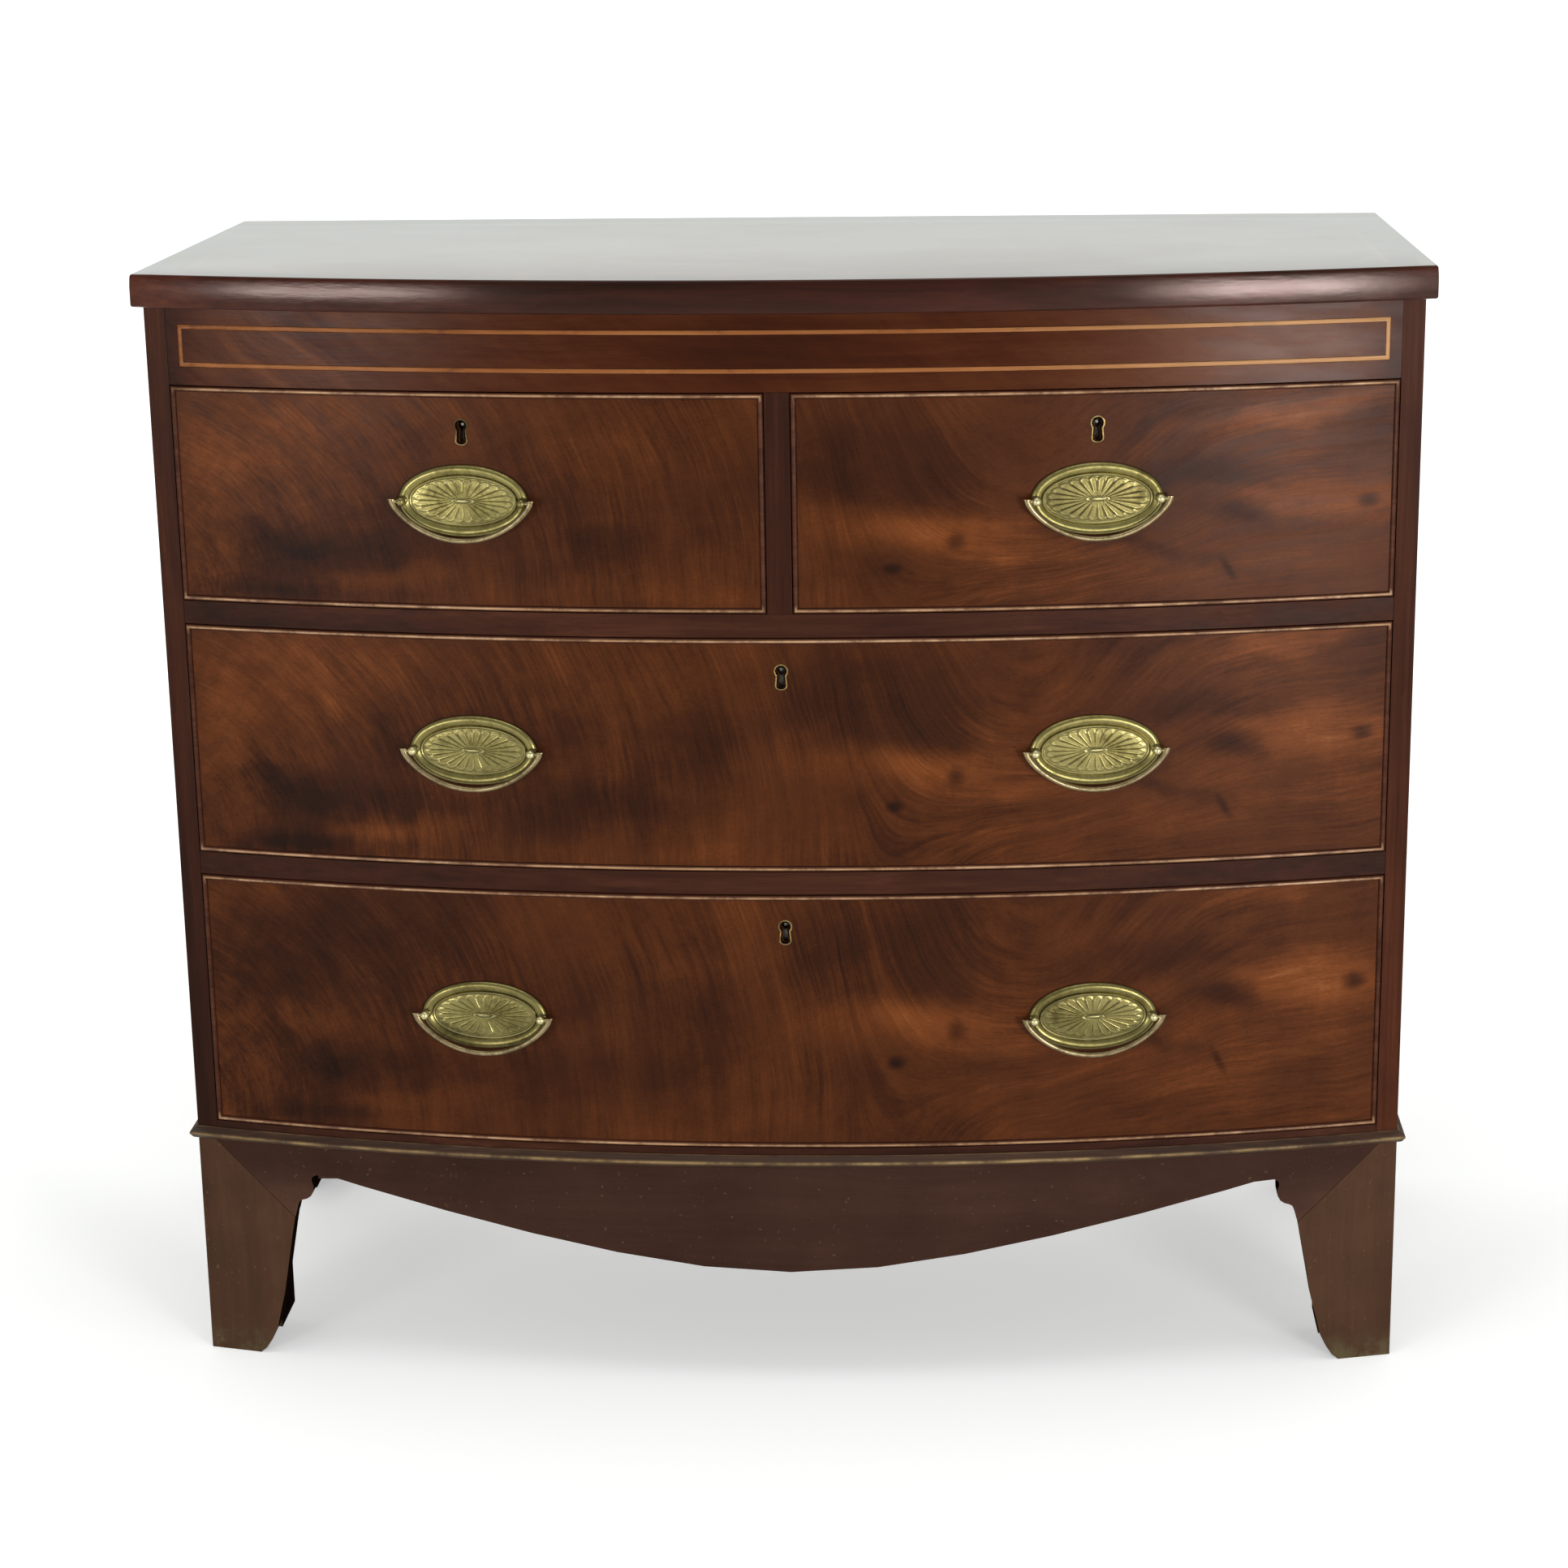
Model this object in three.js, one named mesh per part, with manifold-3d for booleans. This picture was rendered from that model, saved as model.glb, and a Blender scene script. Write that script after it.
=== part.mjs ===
// Bow front chest of drawers: two short drawers over two long ones, on bracket feet.
// Millimetres, +Z up, bowed front towards -Y, origin on the floor under the middle of the top.

import * as THREE from 'three';
import { mergeVertices } from 'three/addons/utils/BufferGeometryUtils.js';
import Module from 'manifold-3d';

const wasm = await Module();
wasm.setup();

// Top board and its overhangs past the case
const topWidth = 1040;
const topDepth = 494;
const topThickness = 26.5;
const topBowDepth = 70.5;
const topArris = 2.4;
const sideOverhang = 8.5;
const frontOverhang = 13;
const backOverhang = 8;

// Case
const footHeight = 196;
const caseHeight = 711.5;
const caseBowDepth = 64.5;
const sideThickness = 18;
const bottomThickness = 17;
const railThickness = 19;
const railDepthAtEnds = 46;
const dustboardThickness = 9;
const backboardThickness = 11;
const tenonLength = 6;
const tenonSetback = 14;
const dividerWidth = 20;
const dividerDepth = 60;
const guideHeight = 12;
const longLowerHeight = 221;
const longUpperHeight = 195.5;
const shortHeight = 177.5;

// Frieze stringing
const stringWidth = 3.3;
const stringDepth = 1.5;
const stringSideInset = 28.2;
const stringTopInset = 13.9;
const stringFrameHeight = 33.6;

// Base moulding, apron and feet
const mouldingHeight = 11;
const mouldingReach = 6.4;
const bracketThickness = 21;
const apronDrop = 94.2;
const footSpread = 102.5;
const footBlockWidth = 40;
const footBlockRise = 16;
const seamTopInset = 15;

// Drawers
const openingClearance = 0.9;
const runnerClearance = 0.3;
const frontThickness = 20;
const drawerSideThickness = 9;
const drawerBackThickness = 9;
const drawerBottomThickness = 6;
const drawerBottomRise = 9;
const grooveDepth = 4;
const drawerBackClearance = 14;
const drawerSideDrop = 6;
const tailPitch = 44;
const tailHalfWidth = 11;
const tailFlare = 3;
const lapThickness = 8.6;

// Cockbead round each drawer front
const beadWidth = 4;
const beadDepth = 7;
const beadProud = 1.9;
const beadRound = 1.2;

// Keyhole, escutcheon and lock
const keyholeDrop = 31.5;
const keyholeHeight = 20.6;
const keyholeHeadRadius = 4.9;
const keyholeNeckHalf = 2.5;
const keyholeFootHalf = 3.6;
const escutcheonWall = 1.3;
const escutcheonDepth = 3;
const escutcheonProud = 0.3;
const lockWidth = 56;
const lockHeight = 44;
const lockThickness = 9;
const lockBoreRadius = 6.5;
const lockBoreDepth = 5.5;
const lockPinRadius = 1.3;
const boltWidth = 16;
const boltThickness = 4;
const boltLength = 22;
const boltThrow = 8;

// Bail handles
const handleHeightAboveMiddle = 1.2;
const handleSpacing = 504;
const plateHalfWidth = 53;
const plateHalfHeight = 29.2;
const plateRimHeight = 3;
const plateRimWidth = 10.4;
const platePetals = 18;
const petalRelief = 0.7;
const postHalfSpacing = 49.4;
const postReach = 8.4;
const ballRadius = 3.8;
const postRadius = 2.5;
const nutSize = 9;
const nutThickness = 3.5;
const bailHalfWidth = 56.7;
const bailDrop = 31.2;
const bailThickness = 4.4;
const bailFlare = 1.1;
const bailFullness = 1.5;
const hornSharpness = 6;
const bailPinRadius = 1.6;

// Fits and curve steps
const gap = 0.3;
const overrun = 5;
const arcStep = 74;
const shortestStepShare = 0.14;
const rodSides = 6;
const headSides = 8;
const bailSteps = 12;
const bailSides = 6;

// Sizes that follow
const topHalf = topWidth / 2;
const caseHalf = topHalf - sideOverhang;
const caseFront = frontOverhang - topDepth / 2;
const caseBack = topDepth / 2 - backOverhang;
const caseTop = footHeight + caseHeight;
const openingHalf = caseHalf - sideThickness;
const longLowerBase = footHeight + bottomThickness;
const lowerRailBase = longLowerBase + longLowerHeight;
const longUpperBase = lowerRailBase + railThickness;
const upperRailBase = longUpperBase + longUpperHeight;
const shortBase = upperRailBase + railThickness;
const friezeBase = shortBase + shortHeight;
const backInside = caseBack - backboardThickness;

// A bow is an arc through the two front corners and the middle of the front
const bow = (half, depth, front) => {
  const radius = (half * half + depth * depth) / (2 * depth);
  const centre = front + radius;
  return {
    radius,
    y: (x, inset) => centre - Math.sqrt((radius - inset) ** 2 - x * x),
    turn: (x) => Math.asin(x / radius),
  };
};
const caseBow = bow(caseHalf, caseBowDepth, caseFront);
const topBow = bow(topHalf, topBowDepth, -topDepth / 2);
const caseCorner = caseBow.y(caseHalf, 0);

// Closed meshes to solids and back
const solid = (geometry) => {
  const plain = geometry.index ? geometry.toNonIndexed() : geometry.clone();
  for (const name of Object.keys(plain.attributes)) {
    if (name !== 'position') {
      plain.deleteAttribute(name);
    }
  }
  const merged = mergeVertices(plain);
  return new wasm.Manifold(new wasm.Mesh({
    numProp: 3,
    vertProperties: new Float32Array(merged.attributes.position.array),
    triVerts: new Uint32Array(merged.index.array),
  }));
};

const toGeometry = (body) => {
  const mesh = body.getMesh();
  const geometry = new THREE.BufferGeometry();
  geometry.setAttribute('position', new THREE.BufferAttribute(new Float32Array(mesh.vertProperties), 3));
  geometry.setIndex(new THREE.BufferAttribute(new Uint32Array(mesh.triVerts), 1));
  geometry.computeVertexNormals();
  return geometry;
};

const cut = (body, ...tools) => tools.reduce((left, tool) => left.subtract(tool), body);
const join = (body, ...others) => others.reduce((left, other) => left.add(other), body);

// A prism over an outline: along z over (x, y), along y over (x, z), along x over (y, z)
const prism = (outline, axis, from, to) => {
  const shape = new THREE.Shape(outline.map(([a, b]) => new THREE.Vector2(a, b)));
  const depth = to - from;
  const geometry = new THREE.ExtrudeGeometry(shape, { depth, bevelEnabled: false });
  const turn = new THREE.Matrix4();
  if (axis === 'x') {
    turn.set(0, 0, 1, from, 1, 0, 0, 0, 0, 1, 0, 0, 0, 0, 0, 1);
  } else if (axis === 'y') {
    turn.set(1, 0, 0, 0, 0, 0, -1, to, 0, 1, 0, 0, 0, 0, 0, 1);
  } else {
    turn.set(1, 0, 0, 0, 0, 1, 0, 0, 0, 0, 1, from, 0, 0, 0, 1);
  }
  return solid(geometry.applyMatrix4(turn));
};

// Points along a circular arc, from one angle to another
const arc = (a, b, radius, from, to, steps) => Array.from({ length: steps + 1 }, (_, i) => {
  const angle = from + ((to - from) * i) / steps;
  return [a + radius * Math.cos(angle), b + radius * Math.sin(angle)];
});
const circle = (a, b, radius, sides) => arc(a, b, radius, 0, Math.PI * 2, sides).slice(1);

const rectangle = (a0, b0, a1, b1) => [[a0, b0], [a1, b0], [a1, b1], [a0, b1]];
const block = (x0, x1, y0, y1, z0, z1) => prism(rectangle(x0, y0, x1, y1), 'z', z0, z1);

// Stations across a bow, the same for every piece, so that the facets of neighbours lie together
const stationCount = Math.ceil(caseHalf / arcStep);
const stations = (x0, x1) => {
  const clear = arcStep * shortestStepShare;
  const shared = Array.from(
    { length: 2 * stationCount + 1 },
    (_, i) => ((i - stationCount) * caseHalf) / stationCount,
  );
  return [x0, ...shared.filter((x) => x > x0 + clear && x < x1 - clear), x1];
};

const arcPoints = (curve, x0, x1, inset) => stations(x0, x1).map((x) => [x, curve.y(x, inset)]);

// A board with a bowed front and a straight back, or with both faces bowed
const straightBacked = (x0, x1, inset, back, z0, z1) => prism(
  [...arcPoints(caseBow, x0, x1, inset), [x1, back], [x0, back]],
  'z', z0, z1);
const bowedBoard = (x0, x1, inset, thickness, z0, z1) => prism(
  [...arcPoints(caseBow, x0, x1, inset), ...arcPoints(caseBow, x0, x1, inset + thickness).reverse()],
  'z', z0, z1);

// Sections joined station by station: a ring closes on itself, a run gets end faces
const loft = (rings, closed) => {
  const size = rings[0].length;
  const positions = rings.flat(2);
  const index = [];
  const last = closed ? rings.length : rings.length - 1;
  for (let i = 0; i < last; i += 1) {
    const near = i * size;
    const far = ((i + 1) % rings.length) * size;
    for (let j = 0; j < size; j += 1) {
      const next = (j + 1) % size;
      index.push(near + j, far + j, far + next, near + j, far + next, near + next);
    }
  }
  if (!closed) {
    const end = (rings.length - 1) * size;
    for (let j = 1; j < size - 1; j += 1) {
      index.push(0, j, j + 1, end, end + j + 1, end + j);
    }
  }
  const geometry = new THREE.BufferGeometry();
  geometry.setAttribute('position', new THREE.Float32BufferAttribute(positions, 3));
  geometry.setIndex(index);
  const body = solid(geometry);
  return body.volume() < 0 ? loft(rings.map((ring) => [...ring].reverse()), closed) : body;
};

// A mitred frame on the bow: section points are [inwards, inset] from the frame's outer edge
const frame = (x0, x1, z0, z1, section) => {
  const across = stations(x0, x1);
  const side = (x, i, z, up) => section.map(([inwards, inset]) => {
    const lean = i === 0 ? inwards : i === across.length - 1 ? -inwards : 0;
    return [x + lean, caseBow.y(x + lean, inset), z + up * inwards];
  });
  return loft([
    ...across.map((x, i) => side(x, i, z0, 1)),
    ...across.map((x, i) => side(x, i, z1, -1)).reverse(),
  ], true);
};

// Moves a solid made at the origin onto the bow, facing out square to it
const onBow = (body, x, z) => body
  .rotate(0, 0, THREE.MathUtils.radToDeg(caseBow.turn(x)))
  .translate(x, caseBow.y(x, 0), z);

const finish = {
  mahogany: () => new THREE.MeshStandardMaterial({ color: 0x6b3a22, roughness: 0.3, metalness: 0 }),
  rail: () => new THREE.MeshStandardMaterial({ color: 0x4b2a20, roughness: 0.4, metalness: 0 }),
  foot: () => new THREE.MeshStandardMaterial({ color: 0x533a28, roughness: 0.5, metalness: 0 }),
  bead: () => new THREE.MeshStandardMaterial({ color: 0x7d4a32, roughness: 0.4, metalness: 0 }),
  stringing: () => new THREE.MeshStandardMaterial({ color: 0xb9784a, roughness: 0.4, metalness: 0 }),
  deal: () => new THREE.MeshStandardMaterial({ color: 0xa37f54, roughness: 0.8, metalness: 0 }),
  oak: () => new THREE.MeshStandardMaterial({ color: 0x94714a, roughness: 0.7, metalness: 0 }),
  brass: () => new THREE.MeshStandardMaterial({ color: 0x9a8c48, roughness: 0.35, metalness: 1 }),
  iron: () => new THREE.MeshStandardMaterial({ color: 0x55524e, roughness: 0.5, metalness: 1 }),
};

const group = new THREE.Group();
const add = (name, body, material) => {
  const mesh = new THREE.Mesh(toGeometry(body), finish[material]());
  mesh.name = name;
  group.add(mesh);
};

// The top board: a bowed slab with a worn arris above and below
const topBoard = () => {
  const outline = (inset) => [
    ...arcPoints(topBow, inset - topHalf, topHalf - inset, inset),
    [topHalf - inset, topDepth / 2 - inset],
    [inset - topHalf, topDepth / 2 - inset],
  ];
  const level = (inset, z) => outline(inset).map(([x, y]) => [x, y, z]);
  const top = caseTop + topThickness;
  return loft([
    level(topArris, caseTop),
    level(0, caseTop + topArris),
    level(0, top - topArris),
    level(topArris, top),
  ], false);
};

// Bolt mortises above each lock, cut in the rail that the bolt shoots into
const boltInset = frontThickness - lockThickness / 2;
const boltMortise = (x, z) => onBow(
  block(
    -boltWidth / 2 - gap, boltWidth / 2 + gap,
    boltInset - boltThickness / 2 - gap, boltInset + boltThickness / 2 + gap,
    -overrun, boltThrow + gap),
  x, z);

// Rails: bowed in front, straight behind, with a stub tenon at each end
const railBack = caseCorner + railDepthAtEnds;
const tenonFront = caseCorner + tenonSetback;
const tenon = (side, z0, z1, room) => {
  const inner = openingHalf - overrun;
  const outer = openingHalf + tenonLength + room;
  const x = [side * inner, side * outer].sort((a, b) => a - b);
  return block(x[0], x[1], tenonFront - room, railBack + room, z0 - room, z1 + room);
};
const rail = (z0, z1) => join(
  straightBacked(gap - openingHalf, openingHalf - gap, 0, railBack, z0, z1),
  tenon(-1, z0 + gap, z1 - gap, 0),
  tenon(1, z0 + gap, z1 - gap, 0));

// Each drawer's place in the case
const shortInner = dividerWidth / 2;
const drawerPlaces = [
  { name: 'short_left', x0: -openingHalf, x1: -shortInner, z0: shortBase, z1: friezeBase, handles: 1 },
  { name: 'short_right', x0: shortInner, x1: openingHalf, z0: shortBase, z1: friezeBase, handles: 1 },
  { name: 'long_upper', x0: -openingHalf, x1: openingHalf, z0: longUpperBase, z1: upperRailBase, handles: 2 },
  { name: 'long_lower', x0: -openingHalf, x1: openingHalf, z0: longLowerBase, z1: lowerRailBase, handles: 2 },
];
const lockPlace = (place) => (place.x0 + place.x1) / 2;

// The frieze rail carries a rectangle of stringing let into its face
const stringFrame = (room) => {
  const half = caseHalf - stringSideInset + room;
  const high = caseTop - stringTopInset + room;
  const low = caseTop - stringTopInset - stringFrameHeight - room;
  const face = room > 0 ? -overrun : 0;
  const width = stringWidth + 2 * room;
  const depth = stringDepth + room;
  return frame(-half, half, low, high, [[0, depth], [width, depth], [width, face], [0, face]]);
};

// The two back boards meet behind the upper rail
const backJoint = upperRailBase - gap / 2;

const buildCase = () => {
  add('top_board', topBoard(), 'mahogany');

  const housings = [
    [footHeight, longLowerBase],
    [lowerRailBase, longUpperBase],
    [upperRailBase, shortBase],
    [friezeBase, caseTop - gap],
  ];
  const dustboards = [
    [longUpperBase - gap - dustboardThickness, longUpperBase - gap],
    [shortBase - gap - dustboardThickness, shortBase - gap],
  ];
  for (const [side, name] of [[-1, 'side_left'], [1, 'side_right']]) {
    const xs = [side * openingHalf, side * caseHalf].sort((a, b) => a - b);
    const panel = straightBacked(xs[0], xs[1], 0, caseBack, footHeight, caseTop - gap);
    const rebateDepth = sideThickness / 2;
    const rebate = [side * (openingHalf - overrun), side * (openingHalf + rebateDepth + gap)];
    rebate.sort((a, b) => a - b);
    add(name, cut(
      panel,
      block(
        rebate[0], rebate[1],
        backInside - gap, caseBack + overrun,
        footHeight - overrun, caseTop + overrun),
      ...housings.map(([z0, z1]) => tenon(side, z0 + gap, z1 - gap, gap)),
      ...dustboards.map(([z0, z1]) => {
        const outer = openingHalf + tenonLength + gap;
        const x = [side * (openingHalf - overrun), side * outer].sort((a, b) => a - b);
        return block(x[0], x[1], railBack, backInside, z0 - gap, z1 + gap);
      }),
    ), 'mahogany');
  }

  const backHalf = openingHalf + sideThickness / 2;
  for (const [name, z0, z1] of [
    ['back_board_lower', footHeight, backJoint],
    ['back_board_upper', backJoint + gap, caseTop - gap],
  ]) {
    add(name, block(-backHalf, backHalf, backInside, caseBack, z0, z1), 'deal');
  }

  const shorts = drawerPlaces.slice(0, 2);
  add('frieze_rail', cut(
    rail(friezeBase, caseTop - gap),
    stringFrame(gap),
    ...shorts.map((place) => boltMortise(lockPlace(place), friezeBase)),
  ), 'rail');
  add('frieze_stringing', stringFrame(0), 'stringing');
  add('rail_upper', cut(rail(upperRailBase, shortBase), boltMortise(0, upperRailBase)), 'rail');
  add('rail_lower', cut(rail(lowerRailBase, longUpperBase), boltMortise(0, lowerRailBase)), 'rail');
  add('carcase_bottom', join(
    straightBacked(gap - openingHalf, openingHalf - gap, 0, backInside - gap, footHeight, longLowerBase),
    tenon(-1, footHeight + gap, longLowerBase - gap, 0),
    tenon(1, footHeight + gap, longLowerBase - gap, 0),
  ), 'rail');

  const dustHalf = openingHalf + tenonLength;
  for (const [i, name] of ['dustboard_lower', 'dustboard_upper'].entries()) {
    const [z0, z1] = dustboards[i];
    add(name, block(-dustHalf, dustHalf, railBack + gap, backInside - gap, z0, z1), 'deal');
  }

  const dividerBack = caseFront + dividerDepth;
  add('drawer_divider', straightBacked(
    -dividerWidth / 2, dividerWidth / 2, 0, dividerBack, shortBase + gap, friezeBase - gap,
  ), 'rail');
  add('drawer_guide', block(
    -dividerWidth / 2, dividerWidth / 2,
    dividerBack + gap, backInside - gap,
    shortBase + gap, shortBase + guideHeight,
  ), 'deal');
};

// The base moulding runs round the two sides and the front, mitred at the corners
const mouldingShares = [
  [0, 0], [0.28, 0.02], [0.75, 0.28], [0.98, 0.4], [1, 0.52], [0.9, 0.6], [0.62, 0.72], [0.3, 0.84],
  [0.12, 1], [0, 1],
];
const buildMoulding = () => {
  const section = mouldingShares.map(([out, up]) => [
    gap + out * mouldingReach,
    footHeight + up * mouldingHeight,
  ]);
  const across = stations(-caseHalf, caseHalf);
  const outward = (x) => [Math.sin(caseBow.turn(x)), -Math.cos(caseBow.turn(x))];
  const mitre = (side) => {
    const [nx, ny] = outward(side * caseHalf);
    const spread = 1 + nx * side;
    return [(nx + side) / spread, ny / spread];
  };
  const rings = [
    { x: -caseHalf, y: caseBack, way: [-1, 0] },
    ...across.map((x, i) => {
      const corner = i === 0 ? -1 : i === across.length - 1 ? 1 : 0;
      return { x, y: caseBow.y(x, 0), way: corner ? mitre(corner) : outward(x) };
    }),
    { x: caseHalf, y: caseBack, way: [1, 0] },
  ].map(({ x, y, way }) => section.map(([out, z]) => [x + way[0] * out, y + way[1] * out, z]));
  add('base_moulding', loft(rings, false), 'foot');
};

// Bracket outlines, as shares of the bracket's spread from its corner and of the foot's height
const footTop = footHeight - gap;
const seamFootShare = [0.815, 0.664];
const footInnerShares = [
  [0.79, 0.6], [0.755, 0.5], [0.72, 0.4], [0.685, 0.3], [0.645, 0.22], [0.6, 0.125], [0.55, 0.07],
  [0.495, 0.025], [0.44, 0],
];
const cuspShares = [
  [0.85, 0.725], [0.865, 0.742], [0.89, 0.75], [0.93, 0.757], [0.965, 0.77], [0.99, 0.793], [0.993, 0.82],
  [0.978, 0.843], [0.985, 0.86], [1.02, 0.871],
];
const returnEndShares = [[1.06, 1], [1.06, 0.873]];
const apronEndShare = 1.19;
const apronEndRiseShare = 0.866;
const apronCurveShare = 0.3;

const footPoint = ([across, up]) => [across * footSpread, up * footTop];

// The foot of a bracket, from its corner: across is measured in from the corner
const footOutline = (withCusp) => {
  const inner = footInnerShares.map(footPoint);
  const seam = withCusp
    ? [...returnEndShares.map(footPoint), ...cuspShares.map(footPoint).reverse()]
    : [[seamTopInset, footTop]];
  return [[0, 0], [0, footTop], ...seam, footPoint(seamFootShare), ...inner];
};

// The apron's lower edge sweeps from a shallow middle up to the cusp beside each foot
const apronEdge = () => {
  const endX = caseHalf - apronEndShare * footSpread;
  const endZ = apronEndRiseShare * footTop;
  const middleZ = footTop - apronDrop;
  const knee = apronCurveShare * caseHalf;
  const rise = (x) => Math.sqrt(x * x + knee * knee) - knee;
  const slope = (endZ - middleZ) / rise(endX);
  return stations(0, endX).map((x) => [x, middleZ + slope * rise(x)]);
};

const buildApron = () => {
  const cusp = [...cuspShares].reverse().map(footPoint).map(([across, z]) => [caseHalf - across, z]);
  const seamEnd = footPoint(seamFootShare);
  const half = [
    ...apronEdge(),
    ...cusp,
    [caseHalf - seamEnd[0] - gap, seamEnd[1] + gap],
    [caseHalf - seamTopInset - gap, footTop],
  ];
  const outline = [...half, ...half.slice(1).reverse().map(([x, z]) => [-x, z])];
  const board = bowedBoard(-caseHalf, caseHalf, 0, bracketThickness, 0, footTop);
  const prismY = prism(outline, 'y', caseFront - overrun, railBack);
  add('apron', board.intersect(prismY), 'foot');
};

const buildFeet = () => {
  const boardBlank = bowedBoard(-caseHalf, caseHalf, 0, bracketThickness, 0, footTop);
  const apronRoom = bowedBoard(
    -caseHalf, caseHalf, -overrun, bracketThickness + overrun + gap, 0, footTop + overrun);
  for (const [side, name] of [[-1, 'left'], [1, 'right']]) {
    const flip = (points) => points.map(([across, z]) => [side * (caseHalf - across), z]);
    const span = (from, to) => [side * (caseHalf - from), side * (caseHalf - to)].sort((a, b) => a - b);
    const near = span(0, bracketThickness);
    const post = span(bracketThickness - gap, bracketThickness + footBlockWidth);
    const returned = (corner, way) => prism(
      footOutline(true).map(([across, z]) => [corner + way * across, z]), 'x', near[0], near[1]);

    // In front the bowed bracket stops at a slanting seam, where the apron takes over
    const aboveSeam = flip([
      [seamTopInset, footTop], [seamTopInset, footTop + overrun], [footSpread, footTop + overrun],
      [footSpread, seamFootShare[1] * footTop], footPoint(seamFootShare),
    ]);
    const bracket = prism(flip(footOutline(false)), 'y', caseFront - overrun, railBack);
    const frontFace = boardBlank.intersect(bracket);
    const bowedEnd = straightBacked(near[0], near[1], 0, caseBack, -overrun, footHeight);
    const frontPost = prism([
      ...post.map((x) => [x, caseBow.y(x, bracketThickness - gap)]),
      [post[1], caseCorner + bracketThickness + footBlockWidth],
      [post[0], caseCorner + bracketThickness + footBlockWidth],
    ], 'z', footBlockRise, footTop);
    add(`foot_front_${name}`, cut(
      join(frontFace, returned(caseCorner, 1).intersect(bowedEnd), frontPost),
      apronRoom.intersect(prism(aboveSeam, 'y', caseFront - overrun, railBack)),
    ), 'foot');

    const backFace = prism(flip(footOutline(true)), 'y', caseBack - bracketThickness, caseBack);
    const backPost = block(
      post[0], post[1],
      caseBack - bracketThickness - footBlockWidth, caseBack - bracketThickness + gap,
      footBlockRise, footTop);
    add(`foot_rear_${name}`, join(returned(caseBack, -1), backFace, backPost), 'foot');
  }
};

// A keyhole outline, wider at its head and flared towards its foot
const headZ = keyholeHeight / 2 - keyholeHeadRadius;
const keyholeShape = (grow) => {
  const head = keyholeHeadRadius - escutcheonWall + grow;
  const neck = keyholeNeckHalf - escutcheonWall + grow;
  const foot = keyholeFootHalf - escutcheonWall + grow;
  const lean = Math.asin(neck / head);
  return [
    ...arc(0, headZ, head, lean - Math.PI / 2, Math.PI * 1.5 - lean, headSides),
    ...arc(0, keyholeFootHalf - keyholeHeight / 2, foot, Math.PI, Math.PI * 2, headSides / 2),
  ];
};

const drawerBody = (place) => {
  const x0 = place.x0 + openingClearance;
  const x1 = place.x1 - openingClearance;
  const z0 = place.z0 + openingClearance;
  const z1 = place.z1 - openingClearance;
  return { ...place, x0, x1, z0, z1, lockX: lockPlace(place), keyZ: z1 - keyholeDrop };
};

// Cockbead section, rounded where it stands proud, and the rebate it lies in
const beadSection = [
  [0, beadDepth], [beadWidth, beadDepth], [beadWidth, beadRound - beadProud], [beadWidth / 2, -beadProud],
  [0, beadRound - beadProud],
];
const rebateSection = [
  [-overrun, beadDepth + gap], [beadWidth + gap, beadDepth + gap],
  [beadWidth + gap, -overrun], [-overrun, -overrun],
];

// Lapped dovetails: tails on the ends of the drawer side, sockets in the back of the front
const tails = (drawer, x0, x1, room) => {
  const high = drawer.z1 - drawerSideDrop;
  const count = Math.max(2, Math.round((high - drawer.z0) / tailPitch));
  const pitch = (high - drawer.z0) / count;
  const outer = Math.max(Math.abs(x0), Math.abs(x1));
  const tip = caseBow.y(Math.min(outer, openingHalf), lapThickness) - room;
  const root = caseBow.y(Math.min(outer, openingHalf), frontThickness) + overrun;
  return Array.from({ length: count }, (_, i) => {
    const z = drawer.z0 + pitch * (i + 0.5);
    const wide = tailHalfWidth + tailFlare + room;
    const narrow = tailHalfWidth + room;
    return prism([[tip, z - wide], [tip, z + wide], [root, z + narrow], [root, z - narrow]], 'x', x0, x1);
  });
};

const bottomPanel = (drawer, room) => {
  const reach = drawerSideThickness - grooveDepth - room;
  const z0 = drawer.z0 + drawerBottomRise;
  return straightBacked(
    drawer.x0 + reach, drawer.x1 - reach, frontThickness - grooveDepth - room,
    backInside - drawerBackClearance + (room > 0 ? overrun : -gap),
    z0 - room, z0 + drawerBottomThickness + room);
};

const handlePlaces = (drawer) => {
  const z = (drawer.z0 + drawer.z1) / 2 + handleHeightAboveMiddle;
  if (drawer.handles === 1) {
    return [{ x: Math.sign(drawer.x0 + drawer.x1) * handleSpacing / 2, z }];
  }
  return [{ x: -handleSpacing / 2, z }, { x: handleSpacing / 2, z }];
};

// A round rod square to the bow, from depth y0 to depth y1
const rod = (x, z, radius, y0, y1) => prism(circle(x, z, radius, rodSides), 'y', y0, y1);

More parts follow.
